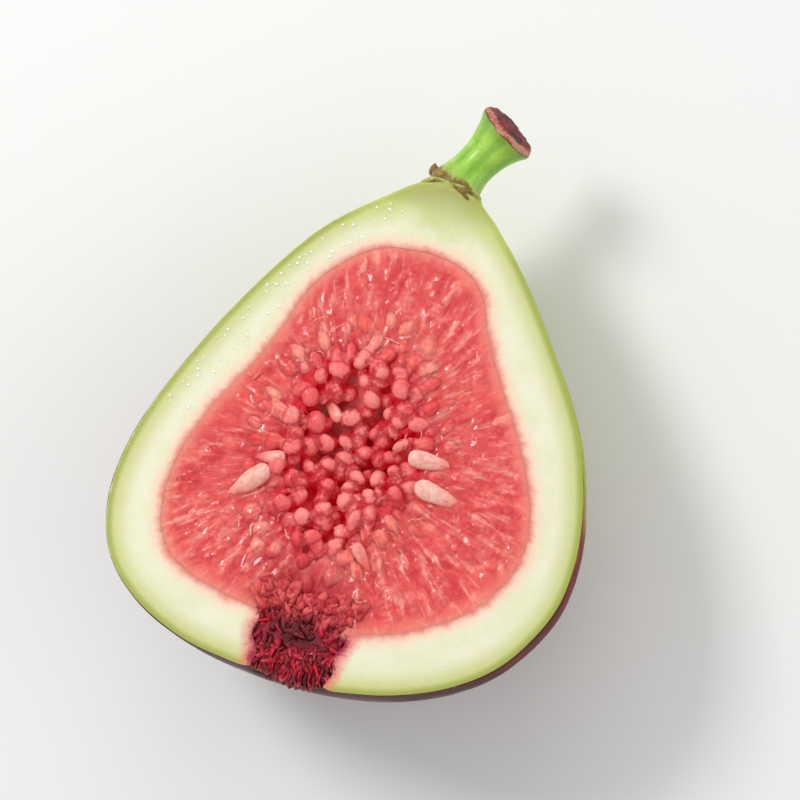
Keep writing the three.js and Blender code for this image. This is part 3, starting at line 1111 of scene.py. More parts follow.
@dataclass
class Pulp:
    """The lining of the hollow: a bed with its florets grown on, which point to the middle."""

    form: FruitForm
    slot: Slot = Slot.PULP
    cavity: Cavity = field(default_factory=Cavity)
    bed_melt: Melt = Melt("fig_pulp", 0.21, 0.22, 1.0)
    head_melt: Melt = Melt("fig_heads", 0.1575, 0.055, 0.0)
    bed_sides: int = 220
    bed_rings: int = 72
    bed_overlap: float = 0.9  # how far the bed reaches into the flesh
    eye_y: float = -22.5  # where it sinks beside the eye
    strand_count: int = 760
    strand_width: tuple = (0.7, 1.3)
    strand_length: tuple = (1.5, 3.8)
    head_layers: tuple = (  # how far raised, least gap, mean width and reach as a share of the cavity's
        (0.1, 1.7, 2.3, 1.3),
        (0.7, 2.7, 2.4, 0.9),
    )
    head_tries: int = 5000
    head_length: tuple = (2.4, 3.8)
    head_flatness: tuple = (0.66, 0.95)
    head_bumps: tuple = ((0.15, 0.7, 57.0), (0.06, 1.7, 58.0))  # height, scale and seed
    head_margin: float = 2.4  # least distance of a head from the wall
    head_stance: tuple = (0.86, 0.45)  # how far up a head points in the middle, and how much less at the rim
    pale_middles: tuple = (  # place in the knife's plane and length of each big pale floret
        (-12.2, -9.3, 4.9),
        (-10.9, -5.9, 3.4),
        (6.5, -1.5, 4.4),
        (8.4, -4.9, 4.8),
        (-6.2, 1.5, 3.2),
        (2.5, -13.7, 3.0),
    )
    thread_count: int = 36
    thread_width: tuple = (0.12, 0.18)
    thread_length: tuple = (1.0, 2.2)
    thread_curls: tuple = ((0.8, 21.0), (0.8, 33.0), (0.24, 47.0))  # reach and seed, for x, y and z
    seed: int = 7

    def build(self) -> list[Piece]:
        """Model and dress the pulp.

        Returns:
            Its pieces.
        """
        chance = random.Random(self.seed)
        pulp = self.fuse(self.bed_melt, [self.bed(), self.strands(chance)])
        heads = self.fuse(self.head_melt, [self.heads(chance)])
        return [pulp, heads, self.pale_florets(chance), self.threads(chance)]

    def near_pale(self, x: float, y: float) -> bool:
        """Return whether a place belongs to one of the big pale florets."""
        gaps = [math.hypot(x - at_x, y - at_y) - 0.3 * length for at_x, at_y, length in self.pale_middles]
        return min(gaps) < 0.5

    def bed(self) -> Piece:
        """Shape a ball into the filling of the hollow, with the cavity sunk in its top.

        Returns:
            The bed.
        """
        clear_selection()
        bpy.ops.mesh.primitive_uv_sphere_add(segments=self.bed_sides, ring_count=self.bed_rings, radius=1.0)
        bed = named("pulp_bed")
        ball = points_of(bed)
        angle = np.arctan2(ball[:, 1], ball[:, 0])
        climb = np.arcsin(np.clip(ball[:, 2], -1.0, 1.0)) / (math.pi / 2)
        inward = np.abs(climb)
        reach = self.reach(angle) + self.bed_overlap
        x = self.cavity.centre[0] + np.cos(angle) * reach * (1.0 - inward)
        y = self.cavity.centre[1] + np.sin(angle) * reach * (1.0 - inward)
        inner = smooth_step(0.05, 0.18, inward)
        top = -0.3 + 0.34 * smooth_step(0.0, 0.05, inward)
        top = top + (self.cavity.floor(x, y) - top) * inner
        to_eye = np.hypot(x - self.form.hollow.eye_x, 1.2 * (y - self.eye_y))
        top = top - 0.8 * (1.0 - smooth_step(3.0, 5.5, to_eye))
        below = np.minimum(-self.under(x, y), top - 0.8)
        points = np.column_stack([x, y, np.where(climb >= 0, top, below)])
        points[:, 2] += np.where(climb > 0.0, 0.12 * ripple(points, 0.7, 5.0) * inner, 0.0)
        set_points(bed, points)
        store(bed, tone=0.4 + 0.4 * ripple(points, 0.35, 9.0), along=0.3, floret=-1)
        return bed

    def reach(self, angle: Array) -> Array:
        """Measure how far the hollow's rim lies from the cavity's middle.

        Args:
            angle: Directions from the middle, in radians.

        Returns:
            The distance in each direction.
        """
        off = self.form.hollow.rim() - np.array(self.cavity.centre)
        around = np.arctan2(off[:, 1], off[:, 0])
        order = np.argsort(around)
        return np.interp(angle, around[order], np.linalg.norm(off, axis=1)[order], period=FULL_TURN)

    def under(self, x: Array, y: Array) -> Array:
        """Measure how far the hollow reaches below the cut.

        Args:
            x: Distances across.
            y: Distances along.

        Returns:
            The depth at each place.
        """
        hollow = self.form.hollow
        radius, along = smooth_path(hollow.outline, 120).T
        width = np.interp(y, along, radius)
        across = x - np.interp(y, along, hollow.drift(radius, along))
        return self.form.back_depth * np.sqrt(np.maximum(width**2 - across**2, 0.0))

    def fuse(self, melt: Melt, parts: Sequence[Piece]) -> Piece:
        """Melt closed shapes into one body, carry their shades over and dress it.

        Args:
            melt: How they melt.
            parts: The shapes.

        Returns:
            The body.
        """
        clear_selection()
        for part in parts:
            part.select_set(True)
        bpy.context.view_layer.objects.active = parts[0]
        if len(parts) > 1:
            bpy.ops.object.join()
        body = named(melt.name)
        grown = points_of(body)
        along, tone, floret = (stored(body, name) for name in ("along", "tone", "floret"))
        modify(body, "REMESH", mode="VOXEL", voxel_size=melt.cell, adaptivity=melt.thinning)
        modify(body, "SMOOTH", factor=0.5, iterations=2)
        points = points_of(body)
        near = nearest(grown, points, 3)[0]
        tips = along > 0.5
        seam = self.seams(grown[tips], floret[tips], points)
        store(body, along=along[near].mean(axis=1), tone=tone[near].mean(axis=1), pale=0.0)
        self.mark(body)
        opened = stored(body, "open")
        # the open cavity's floor counts as sunk, so it takes the painted shade and painted glow of the gaps
        store(body, seam=seam, sunk=stored(body, "sunk") + melt.floor_depth * opened**2)
        grooves = melt.groove * (1.0 - smooth_step(0.0, 0.45, seam)) * (0.15 + 0.85 * opened)
        swell(body, 0.22 * ripple(points, 0.55, 31.0) * opened - grooves)
        return dress(body, PulpFinish(melt.name).material())

    def seams(self, tips: Array, owners: Array, points: Array) -> Array:
        """Measure how far points lie from the seams between florets.

        Args:
            tips: The vertices of the florets' front halves.
            owners: The floret that each belongs to.
            points: The points to measure.

        Returns:
            How much farther the second nearest floret lies than the nearest.
        """
        far = 9.0
        near, away = nearest(tips, points, 10)
        other = owners[near] != owners[near[:, :1]]
        return np.where(other, away, far).min(axis=1) - away[:, 0]

    def mark(self, piece: Piece) -> None:
        """Store how far each vertex lies from the wall, in the cavity and between its neighbours.

        Args:
            piece: The piece.
        """
        rim = np.pad(self.form.hollow.rim(), ((0, 0), (0, 1)))
        points = points_of(piece)
        opened = 1.0 - smooth_step(0.75, 1.3, self.cavity.share(points[:, 0], points[:, 1]))
        store(piece, open=opened, sunk=self.sunk(points))
        points[:, 2] = 0.0
        store(piece, wall_depth=distance_to_edges(np.stack([rim[:-1], rim[1:]], axis=1), points))

    def sunk(self, points: Array, cell: float = 0.3, spread: int = 4) -> Array:
        """Measure how far points lie under the mean height of the tops around them.

        Args:
            points: The points of a piece.
            cell: The size of the squares in which tops are looked for.
            spread: How many squares around count.

        Returns:
            The depth of each point.
        """
        nothing = -30.0
        across, along = ((points[:, :2] - points[:, :2].min(axis=0)) / cell).astype(int).T + spread
        tops = np.full((across.max() + spread + 1, along.max() + spread + 1), nothing)
        np.maximum.at(tops, (across, along), points[:, 2])
        weight = (tops > nothing + 1.0).astype(float)
        total = tops * weight
        for _ in range(spread):
            for axis in (0, 1):
                total = total + np.roll(total, 1, axis) + np.roll(total, -1, axis)
                weight = weight + np.roll(weight, 1, axis) + np.roll(weight, -1, axis)
        mean = total / np.maximum(weight, 1e-6)
        return mean[across, along] - points[:, 2]

    def strands(self, chance: random.Random) -> Piece:
        """Lay slim florets in the cut, feet to the wall and heads to the cavity.

        Args:
            chance: Where the scatter comes from.

        Returns:
            The strands.
        """
        outline = ((0, 0), (0.3, 0.05), (0.36, 0.3), (0.44, 0.6), (0.5, 0.8), (0.36, 0.95), (0, 1))
        rim = self.form.hollow.rim(200)
        places: list[Place] = []
        while len(places) < self.strand_count:
            edge = rim[chance.randrange(len(rim))]
            share = chance.uniform(-0.045, 0.62)
            x, y = edge + (np.array(self.cavity.centre) - edge) * share
            if self.cavity.share(x, y) < 0.95 or self.near_pale(x, y):
                continue
            aim = self.cavity.inward(x, y, chance, 0.3)
            aim.z = chance.uniform(-0.04, 0.05)
            width = chance.uniform(*self.strand_width)
            foot = Vector((x, y, chance.uniform(-0.05, 0.12) - 0.42 * width))
            length = chance.uniform(*self.strand_length)
            places.append(Place(foot, aim, width, length, chance.uniform(*ROLL), chance.random()))
        return set_out("strands", turned("strand", outline, 8, 7), places)

    def heads(self, chance: random.Random) -> Piece:
        """Crowd rounded heads over the cavity's wall and floor, pointing to its middle.

        Args:
            chance: Where the scatter comes from.

        Returns:
            The heads.
        """
        outline = ((0, 0), (0.24, 0.04), (0.37, 0.25), (0.49, 0.56), (0.46, 0.8), (0.27, 0.96), (0, 1))
        places: list[Place] = []
        limit = self.reach(np.linspace(-math.pi, math.pi, 361)) - self.head_margin
        for raised, gap, wide, most in self.head_layers:
            taken: list[Vector] = []
            for _ in range(self.head_tries):
                angle, share = chance.uniform(0, FULL_TURN), math.sqrt(chance.random()) * most
                across, along = self.cavity.step(angle, share)
                way = int(math.degrees(math.atan2(along, across))) + 180
                x, y = self.cavity.centre[0] + across, self.cavity.centre[1] + along
                if math.hypot(across, along) > limit[way] or self.near_pale(x, y):
                    continue
                sinking = 0.6 * smooth_step(0.75, 1.2, share)
                spot = Vector((x, y, self.cavity.floor(x, y) + raised - sinking))
                if any((spot - other).length < gap for other in taken):
                    continue
                taken.append(spot)
                aim = self.cavity.inward(x, y, chance, 0.4) * min(0.15 + share, 1.2)
                aim.x, aim.y = aim.x + chance.gauss(0.0, 0.18), aim.y + chance.gauss(0.0, 0.18)
                upright, less = self.head_stance
                aim.z = upright - less * min(share, 1.3)
                aim.normalize()
                length, width = chance.uniform(*self.head_length), wide * chance.uniform(0.75, 1.15)
                foot = spot - aim * length * (0.42 + 0.3 * sinking)
                flat, roll = chance.uniform(*self.head_flatness), chance.uniform(*ROLL)
                places.append(Place(foot, aim, width, length, roll, chance.random(), flat))
        heads = set_out("fig_heads", turned("head", outline, 8, 10), places)
        swell(heads, ripples(points_of(heads), *self.head_bumps))
        # each head's tone rises towards its tip, which mostly points up: painted light on the heads' tops
        store(heads, tone=0.75 * stored(heads, "tone") + 0.45 * stored(heads, "along") - 0.1)
        return heads

    def pale_florets(self, chance: random.Random) -> Piece:
        """Lay the few big pale florets that stand out of the rest.

        Args:
            chance: Where the scatter comes from.

        Returns:
            The florets.
        """
        to_widest = ((0, 0), (0.1, 0.05), (0.24, 0.25), (0.4, 0.5), (0.46, 0.72))
        outline = (*to_widest, (0.39, 0.9), (0.2, 0.98), (0, 1))
        places = []
        for x, y, length in self.pale_middles:
            aim = self.cavity.inward(x, y, chance, 0.12)
            aim.z = 0.24
            foot = Vector((x, y, max(self.cavity.floor(x, y) + 0.3, -1.2))) - aim * length * 0.6
            tone = min((length - 1.6) / 3.2, 1.0)
            places.append(Place(foot, aim, 0.5 * length, 1.25 * length, 0.0, tone, 0.66))
        pale = set_out("fig_pale_florets", turned("pale", outline, 16, 18), places)
        swell(pale, 0.12 * ripple(points_of(pale), 0.8, 61.0))
        self.mark(pale)
        # the pale colour is kept to faces that point up, so each floret's top is painted lighter than its
        # sides: painted top light over the florets' own paleness
        painted_top_light = smooth_step(-0.1, 0.75, normals_of(pale)[:, 2])
        to_tip = smooth_step(0.15, 0.6, stored(pale, "along"))
        store(pale, pale=to_tip * stored(pale, "tone") * painted_top_light, sunk=0.0, seam=1.0)
        return dress(pale, PulpFinish("fig_pale_floret", glow=0.3).material())

    def threads(self, chance: random.Random) -> Piece:
        """Strew the fine curled threads that come out of the florets.

        Args:
            chance: Where the scatter comes from.

        Returns:
            The threads.
        """
        outline = ((0, 0), (0.5, 0.04), (0.45, 0.5), (0.3, 0.85), (0, 1))
        places = []
        for _ in range(self.thread_count):
            across, along = self.cavity.step(chance.uniform(0, FULL_TURN), chance.uniform(0.7, 1.6))
            x, y = self.cavity.centre[0] + across, self.cavity.centre[1] + along
            aim = self.cavity.inward(x, y, chance, 1.2)
            aim.z = chance.uniform(0.0, 0.35)
            foot = Vector((x, y, self.cavity.floor(x, y) + chance.uniform(0.3, 0.7)))
            width, length = chance.uniform(*self.thread_width), chance.uniform(*self.thread_length)
            places.append(Place(foot, aim, width, length, chance.uniform(*ROLL), chance.random()))
        threads = set_out("fig_threads", turned("thread", outline, 10, 5), places)
        points = points_of(threads)
        curls = [reach * ripple(points, 0.8, seed) for reach, seed in self.thread_curls]
        set_points(threads, points + np.column_stack(curls))
        self.mark(threads)
        store(threads, sunk=0.0, pale=0.1, seam=1.0)
        finish = PulpFinish("fig_thread", body=tint(240, 130, 120), bright=tint(248, 176, 156))
        return dress(threads, finish.material())


# ------------------------------ the eye


@dataclass(frozen=True)
class ScaleFinish:
    """Crimson scales with paler, pinker points, and a brown withered patch in the middle of the eye."""

    name: str
    dark: tuple = tint(100, 0, 20)
    mid: tuple = tint(202, 16, 48)
    point: tuple = tint(236, 124, 136)
    withered: float = 0.0  # share of the brown patch
    rosy: float = 0.0  # share of the pulp's own colour at the inner end
    gloss: float = 0.15
    patch: tuple = (-2.2, -23.2)  # the middle of the brown patch, in the knife's plane

    def material(self) -> Material:
        """Paint the scales.

        Returns:
            The material.
        """
        paint = Paint(self.name)
        place = paint.fruit_place()
        x, y, _ = paint.split(place)
        along, tone = paint.attributes("along", "tone")
        grain = paint.noise(place, 2.8, 4.0, 0.6)
        cloud = paint.noise(place, 0.7, 3.0, 0.6)
        inner = (y + (cloud - 0.5) * 4.0).ease(-23.0, -19.5)
        pulp_like = paint.mix(tone, tint(208, 36, 56), tint(248, 116, 108))
        away = paint.away(x - self.patch[0], (y - self.patch[1]) * 1.2) + (cloud - 0.5) * 3.0
        colour = paint.layers(
            self.dark,
            ((tone * 0.8 + grain * 0.4).ease(0.25, 0.95), self.mid),
            ((along + (grain - 0.5) * 0.5).ease(0.65, 1.0) * (tone * 0.7), self.point),
            (inner * self.rosy, pulp_like),
            (away.ease(2.9, 1.2) * self.withered, tint(80, 14, 10)),
        )
        return paint.finish(
            base_color=colour,
            roughness=0.46,
            ior=1.36,
            coat_weight=self.gloss,
            coat_roughness=0.1,
            subsurface_weight=0.2,
            subsurface_radius=(1.0, 0.25, 0.3),
            subsurface_scale=0.4 * MM,
            normal=paint.bump(grain, 0.10),
        )


def scale_shape(name: str) -> Piece:
    """Shape a pointed, cupped scale of length 1 and width 1 that lies along +Y.

    Args:
        name: The new object's name.

    Returns:
        The scale, which holds how far along each vertex lies as "along".
    """
    clear_selection()
    bpy.ops.mesh.primitive_grid_add(x_subdivisions=2, y_subdivisions=5, size=1.0, location=(0, 0.5, 0))
    scale = named(name)
    bpy.ops.object.transform_apply(location=True, rotation=True, scale=True)
    x, y, z = points_of(scale).T
    width = np.sin(math.pi * np.clip(0.16 + 0.84 * y, 0.0, 1.0)) ** 0.75 * (1.0 - 0.25 * y)
    cup = 0.45 * (2.0 * x) ** 2 * width - 0.22 * np.sin(math.pi * y) - 0.12 * y**2
    set_points(scale, np.column_stack([x * width, y, z - cup]))
    store(scale, along=np.clip(y, 0.0, 1.0))
    modify(scale, "SOLIDIFY", thickness=0.10, offset=0.0)
    return scale


@dataclass
class Eye:
    """The passage at the broad end, full of overlapping scales: a funnel that widens into the hollow."""

    form: FruitForm
    slot: Slot = Slot.EYE
    inner_y: float = -19.4
    outer_y: float = -28.6
    outer_half: float = 4.15  # half its width at the skin
    inner_half: float = 6.4
    plug_top: float = -0.95  # height of its widest ring
    plug_depth: float = 3.2
    plug_bumps: tuple = ((0.22, 0.9, 14.0), (0.14, 2.4, 15.0))  # height, scale and seed
    scale_count: int = 420
    scale_width: tuple = (0.4, 1.1)
    scale_length: tuple = (0.9, 2.0)
    rosette_count: int = 60
    rosette_reach: tuple = (3.0, 2.9)  # across and down
    rosette_width: tuple = (1.0, 1.7)
    rosette_length: tuple = (1.1, 1.7)
    seed: int = 19

    def build(self) -> list[Piece]:
        """Model and dress the eye.

        Returns:
            Its pieces.
        """
        plug = self.plug()
        chance = random.Random(self.seed)
        places = self.row_places(chance) + self.rosette_places(chance)
        scales = set_out("fig_eye_scales", scale_shape("scale"), places)
        return [plug, dress(scales, ScaleFinish("fig_eye_scale", withered=0.7, rosy=0.75).material())]

    def half_width(self, y: Array | float) -> Array | float:
        """Return half the funnel's width at heights along the fruit's axis."""
        share = (y - self.outer_y) / (self.inner_y - self.outer_y)
        return self.outer_half + (self.inner_half - self.outer_half) * np.clip(share, 0.0, 1.0) ** 1.3

    def middle(self, y: Array | float) -> Array | float:
        """Return where the funnel's middle lies sideways."""
        return np.interp(y, (self.outer_y, self.inner_y), (self.form.skin.eye_x, self.form.hollow.eye_x))

    def plug(self) -> Piece:
        """Fill the passage with the dark packed mass that the scales stand in.

        Returns:
            The plug.
        """
        clear_selection()
        bpy.ops.mesh.primitive_uv_sphere_add(segments=72, ring_count=36, radius=1.0)
        plug = named("fig_eye_bed")
        x, y, z = points_of(plug).T
        square = np.sign(y) * np.abs(y) ** 0.6
        along = (self.inner_y + self.outer_y) / 2 + square * ((self.inner_y - self.outer_y) / 2 - 0.4) + 0.35
        height = self.plug_top + np.where(z > 0, 0.5 * np.abs(z) ** 0.35, z * self.plug_depth)
        points = np.column_stack([self.middle(along) + x * self.half_width(along), along, height])
        points[:, 2] += np.where(z > 0, ripples(points, *self.plug_bumps), 0.0)
        set_points(plug, points)
        store(plug, along=0.0, tone=0.5 + 0.4 * ripple(points, 0.9, 16.0))
        colours = tint(96, 2, 24), tint(160, 14, 44)
        finish = ScaleFinish("fig_eye_bed", *colours, withered=0.85, rosy=0.75, gloss=0.0)
        return dress(plug, finish.material())

    def row_places(self, chance: random.Random) -> list[Place]:
        """Stand scales in rows: those near the skin point out, those near the pulp point in.

        Args:
            chance: Where the scatter comes from.

        Returns:
            The places of the scales.
        """
        places = []
        for number in range(self.scale_count):
            share = (number + chance.random()) / self.scale_count
            y = self.outer_y + 1.5 + share * (self.inner_y - self.outer_y - 1.0)
            across = chance.uniform(-1.0, 1.0)
            aim = Vector((0.5 * across, -1.0 if share < 0.4 else 1.0, chance.uniform(-0.1, 0.25)))
            aim.rotate(Euler((0.0, 0.0, chance.gauss(0.0, 0.7))))
            aim.normalize()
            inner = smooth_step(0.55, 0.9, share)
            width = chance.uniform(*self.scale_width) * (1.0 + 0.7 * inner)
            length = chance.uniform(*self.scale_length) * (1.0 - 0.2 * inner)
            reach = self.half_width(y) - 0.3 - 0.4 * abs(aim.x)
            low = -0.45 + 0.3 * smooth_step(-23.0, -20.0, y)
            spot = Vector((self.middle(y) + across * reach, y, low + chance.uniform(-0.25, 0.15)))
            places.append(Place(spot, aim, width, length, chance.uniform(-1.2, 1.2), chance.random()))
        return places

    def rosette_places(self, chance: random.Random) -> list[Place]:
        """Spread scales over the eye's outer end, with their points out.

        Args:
            chance: Where the scatter comes from.

        Returns:
            The places of the scales.
        """
        wide, deep = self.rosette_reach
        places = []
        for _ in range(self.rosette_count):
            angle, share = -math.pi * chance.random(), math.sqrt(chance.random())
            across, height = math.cos(angle) * share, math.sin(angle) * share
            spot = Vector((self.form.skin.eye_x + across * wide, self.outer_y + 1.5, height * deep - 0.4))
            aim = Vector((0.5 * across, -1.0, 0.5 * height + 0.1)).normalized()
            width, length = chance.uniform(*self.rosette_width), chance.uniform(*self.rosette_length)
            places.append(Place(spot, aim, width, length, math.atan2(across, height), chance.random()))
        return places


# ------------------------------ the stalk


@dataclass(frozen=True)
class StalkFinish:
    """Smooth green stalk, yellower at its foot, with a brown-red scar where it was cut."""

    def material(self) -> Material:
        """Paint the stalk.

        Returns:
            The material.
        """
        paint = Paint("fig_stalk")
        place = paint.fruit_place()
        along, scar, ridge, rim = paint.attributes("along", "scar", "ridge", "rim")
        cloud = paint.noise(place, 0.5, 4.0, 0.6)
        grain = paint.noise(place, 2.6, 4.0, 0.65)
        rust = (cloud * 0.8 + grain * 0.5 + along.ease(0.32, 0.06) * 0.55).ease(0.98, 1.15)
        stain = paint.layers(
            tint(140, 22, 30),
            ((grain * 0.6 + cloud).ease(0.6, 0.95), tint(72, 4, 8)),
            ((rim * 0.5 + grain * 0.7 + (cloud - 0.5)).ease(0.62, 0.9) * 0.8, tint(216, 150, 126)),
        )
        colour = paint.layers(
            tint(138, 194, 48),
            (cloud.ease(0.3, 0.7), tint(176, 222, 88)),
            ((along + (cloud - 0.5) * 0.3).ease(0.72, 0.9) * 0.5, tint(96, 140, 34)),
            (ridge.ease(0.2, -0.9) * 0.3, tint(70, 124, 30)),
            (along.ease(0.3, 0.05) * 0.6, tint(176, 184, 84)),
            (rust * along.ease(0.36, 0.2) * 0.85, tint(122, 72, 30)),
            ((scar + (grain - 0.5) * 0.5 + (cloud - 0.5) * 0.5).ease(0.4, 0.6), stain),
        )
        return paint.finish(
            base_color=colour,
            roughness=0.36 + scar * 0.3,
            coat_weight=0.3 - scar * 0.25,
            coat_roughness=0.2,
            subsurface_weight=0.25,
            subsurface_radius=(0.6, 1.0, 0.25),
            subsurface_scale=0.7 * MM,
            normal=paint.bump(grain * 0.6 + cloud * 0.8, 0.10),
        )


@dataclass
class Stalk:
    """The stalk: a flared, slightly ribbed stem that bends to one side, with small scales at its foot."""

    slot: Slot = Slot.STALK
    outline: tuple = (  # radius and distance along, in millimetres
        (0, -0.6), (2.9, -0.6), (3.08, 0.2), (2.72, 1.1), (2.42, 2.6), (2.42, 4.2), (2.66, 5.7),
        (3.12, 7.1), (3.6, 8.0), (3.5, 8.55), (2.9, 8.9), (1.6, 9.1), (0, 9.1),
    )
    foot: Vector = field(default_factory=lambda: Vector((-0.7, 28.3, 0.0)))
    foot_lean: float = math.radians(22.0)
    bend_turn: float = math.radians(21.0)
    plane_turn: float = math.radians(52.0)  # lifts the plane of the bend out of the knife's plane
    length: float = 8.6
    ridge_count: int = 7
    ridge_height: float = 0.022  # as a share of the radius
    scar_bumps: tuple = ((0.28, 0.9, 6.0), (0.12, 2.5, 7.0))  # height, scale and seed
    scale_turns: tuple = (8, 62, 118, 172, 236, 300)  # where the foot's scales stand round it, in degrees
    scale_radius: float = 2.85
    scale_width: tuple = (1.3, 2.2)
    scale_length: tuple = (0.8, 1.3)
    seed: int = 3

    def build(self) -> list[Piece]:
        """Model and dress the stalk and the scales at its foot."""
        return [self.stem(), self.foot_scales()]

    def bend(self, points: Array) -> Array:
        """Bend points on a straight stalk to their places on the fruit.

        Args:
            points: The points, with the stalk along +Y from its foot.

        Returns:
            Their places.
        """
        arc = self.length / self.bend_turn
        angle = points[:, 1] / self.length * self.bend_turn
        across = arc - points[:, 0]
        bent = np.column_stack([arc - across * np.cos(angle), across * np.sin(angle), points[:, 2]])
        return bent @ np.array(self.stance()).T + np.array(self.foot)

    def stance(self) -> Matrix:
        """Return the turn from a stalk that bends across to the way that this one leans and bends."""
        return Matrix.Rotation(-self.foot_lean, 3, "Z") @ Matrix.Rotation(-self.plane_turn, 3, "Y")

    def stem(self) -> Piece:
        """Turn the stem, ridge it, roughen its cut end and bend it.

        Returns:
            The stem.
        """
        stem = turned("fig_stalk", self.outline, 60, 56)
        points = points_of(stem)
        radius, angle = np.hypot(points[:, 0], points[:, 2]), np.arctan2(points[:, 0], points[:, 2])
        ridge = np.cos(self.ridge_count * angle + 0.8 * np.sin(angle)) * smooth_step(0.5, 2.0, radius)
        scar = smooth_step(7.7, 8.5, points[:, 1])
        stretch = 1.0 + self.ridge_height * ridge * (1.0 - scar) + 0.05 * ripple(points, 0.35, 4.0)
        points[:, 0] *= stretch
        points[:, 2] *= stretch * 0.94
        points[:, 1] += scar * ripples(points, *self.scar_bumps)
        store(stem, rim=scar * smooth_step(2.3, 3.4, radius), ridge=ridge, scar=scar)
        set_points(stem, self.bend(points))
        return dress(stem, StalkFinish().material())

    def foot_scales(self) -> Piece:
        """Set the small dry scales round the stalk's foot.

        Returns:
            The scales.
        """
        chance = random.Random(self.seed)
        places = []
        for turn in self.scale_turns:
            angle = math.radians(turn + chance.uniform(-8, 8))
            outward = Vector((math.cos(angle), 0.0, math.sin(angle)))
            spot = Vector((0.0, -0.55, 0.0)) + outward * self.scale_radius
            foot = Vector(self.bend(np.array([spot]))[0])
            aim = self.stance() @ Vector((0.25 * outward.x, 1.0, 0.25 * outward.z)).normalized()
            width, length = chance.uniform(*self.scale_width), chance.uniform(*self.scale_length)
            places.append(Place(foot, aim, width, length, math.atan2(outward.x, outward.z), chance.random()))
        scales = set_out("fig_foot_scales", scale_shape("foot_scale"), places)
        finish = ScaleFinish("fig_foot_scale", tint(112, 74, 32), tint(164, 140, 66), tint(92, 34, 20))
        return dress(scales, finish.material())


# ------------------------------ dew, painted white as glints


@dataclass
class Dew:
    """Tiny drops of sap that beaded on the flesh along its upper left side and on the neck, painted white as
    glints.
    """

    form: FruitForm
    slot: Slot = Slot.RIND
    drop_count: int = 90
    lowest: float = -4.0  # the stretch of the fruit's axis where the drops start
    highest: float = 25.5
    strip: float = 3.6  # how far in from the skin they lie
    size: tuple = (0.14, 0.36)
    seed: int = 23

    def build(self) -> list[Piece]:
        """Set the drops on the cut.

        Returns:
            The drops, as one piece.
        """
        clear_selection()
        bpy.ops.mesh.primitive_uv_sphere_add(segments=10, ring_count=6, radius=0.5)
        drop = named("drop")
        chance = random.Random(self.seed)
        rim = self.form.skin.rim()
        left = rim[(rim[:, 0] < 0) & (rim[:, 1] > self.lowest) & (rim[:, 1] < self.highest)]
        places = []
        for _ in range(self.drop_count):
            x, y = left[chance.randrange(len(left))]
            inward = chance.uniform(0.5, 1.0) ** 2 * self.strip
            y = y - 0.3 * inward
            size = chance.uniform(*self.size)
            foot = Vector((x + inward, y, self.form.knife_height(y) + 0.04))
            places.append(Place(foot, Vector((0.0, 1.0, 0.0)), size, size, 0.0, chance.random(), 0.6))
        # painted highlight: the drops are near-white and glossy so that they show as glints rather than clear
        # sap
        material = Paint("fig_dew_glints").finish(base_color=tint(252, 252, 244), roughness=0.08, coat_weight=1.0)
        return [dress(set_out("fig_dew_glints", drop, places), material)]


# ------------------------------ stage


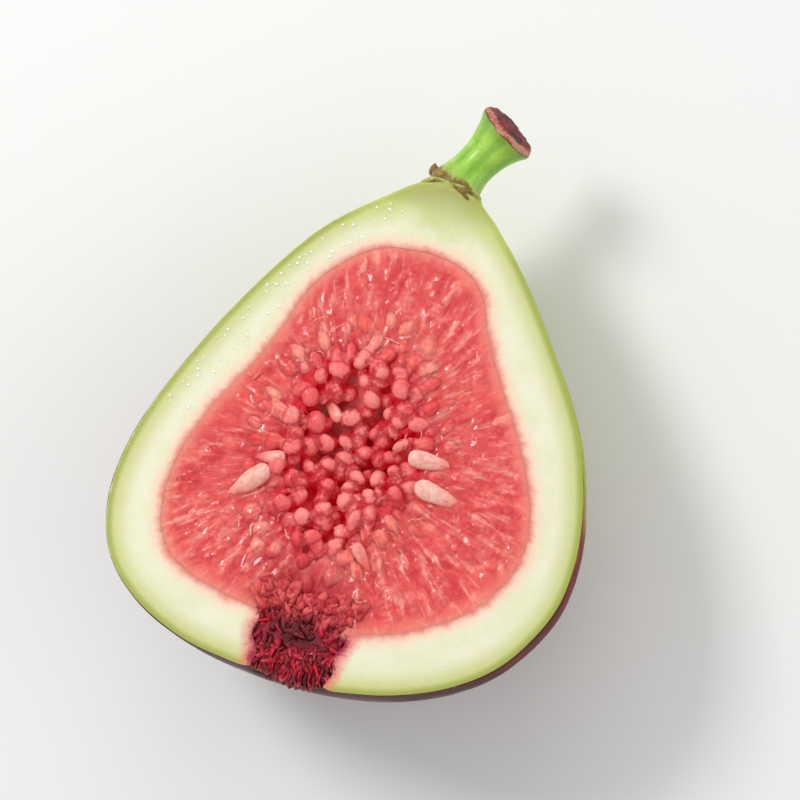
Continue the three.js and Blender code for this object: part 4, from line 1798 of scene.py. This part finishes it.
@dataclass
class Stage:
    """The floor, the lights and the camera, which looks down on the cut face."""

    view_tilt: float = math.radians(16.0)  # how far the camera stands off the cut face's normal
    tilt_way: Vector = field(default_factory=lambda: Vector((0.695, -0.719, 0.0)))
    frame_turn: float = math.radians(18.0)  # how far the fruit leans over in the camera's frame
    aim: Vector = field(default_factory=lambda: Vector((0.6, 4.4, -1.5)))  # in the fruit's frame
    distance: float = 620.0
    frame_width: float = 86.0
    room_light: float = 0.58
    floor_size: float = 6.0  # in metres
    lamps: tuple = (  # name, shares to the right, up and towards the camera, distance, size and watts
        ("key_light", -0.8, 0.6, 0.85, 560.0, 160.0, 1.38),
        ("fill_light", 0.95, -0.15, 0.9, 520.0, 420.0, 0.45),
        ("top_light", 0.0, 1.0, 0.45, 500.0, 260.0, 0.40),
    )

    def build(self) -> None:
        """Set up the camera, the lights, the floor and the room's own light."""
        up = Vector((-math.sin(self.frame_turn), math.cos(self.frame_turn), 0.0))
        back = Vector((0, 0, 1)) * math.cos(self.view_tilt) + self.tilt_way * math.sin(self.view_tilt)
        back.normalize()
        right = up.cross(back).normalized()
        up = back.cross(right).normalized()
        self.camera(up, back)
        for name, to_right, to_up, to_camera, distance, size, power in self.lamps:
            lamp = bpy.data.lights.new(name, "AREA")
            lamp.size, lamp.energy = size * MM, power
            self.stand(lamp, (right * to_right + up * to_up + back * to_camera).normalized(), up, distance)
        self.floor()
        world = bpy.data.worlds.new("soft_room")
        bpy.context.scene.world = world
        world.use_nodes = True
        background = world.node_tree.nodes["Background"]
        background.inputs["Color"].default_value = (1.0, 1.0, 1.0, 1.0)
        background.inputs["Strength"].default_value = self.room_light
        bpy.context.scene.view_settings.view_transform = "Standard"

    def stand(self, data: bpy.types.ID, back: Vector, up: Vector, distance: float) -> Piece:
        """Stand a camera or a light so that it looks at the fruit.

        Args:
            data: The camera or the light.
            back: The way from the fruit to it.
            up: Where its top points.
            distance: How far off it stands, in millimetres.

        Returns:
            The object.
        """
        right = up.cross(back).normalized()
        turn = Matrix((right, back.cross(right).normalized(), back)).transposed().to_4x4()
        matrix = LIE.to_3x3().normalized().to_4x4() @ turn
        matrix.translation = LIE @ (self.aim + back * distance)
        made = bpy.data.objects.new(data.name, data)
        bpy.context.scene.collection.objects.link(made)
        made.matrix_world = matrix
        return made

    def camera(self, up: Vector, back: Vector) -> None:
        """Place the camera.

        Args:
            up: Where its top points.
            back: The way from the fruit to it.
        """
        data = bpy.data.cameras.new("camera")
        data.angle = 2 * math.atan(self.frame_width / 2 / self.distance)
        data.clip_start, data.clip_end = 0.01, 20.0
        bpy.context.scene.camera = self.stand(data, back, up, self.distance)

    def floor(self) -> None:
        """Lay the pale floor."""
        clear_selection()
        bpy.ops.mesh.primitive_plane_add(size=self.floor_size, location=(0, 0, 0))
        floor = named("floor")
        material = Paint("pale_floor").finish(base_color=(0.86, 0.86, 0.85, 1.0), roughness=0.6)
        floor.data.materials.append(material)


def main() -> None:
    """Build the fig piece by piece, and then its stage."""
    logging.basicConfig(level=logging.INFO, format="%(message)s")
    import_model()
    form = FruitForm()
    for maker in (Rind(form), Pulp(form), Eye(form), Stalk(), Dew(form)):
        for piece in maker.build():
            hand_over(piece, maker.slot)
            log.info("%s: %d faces", piece.name, len(piece.data.polygons))
    Stage().build()


if __name__ == "__main__":
    main()
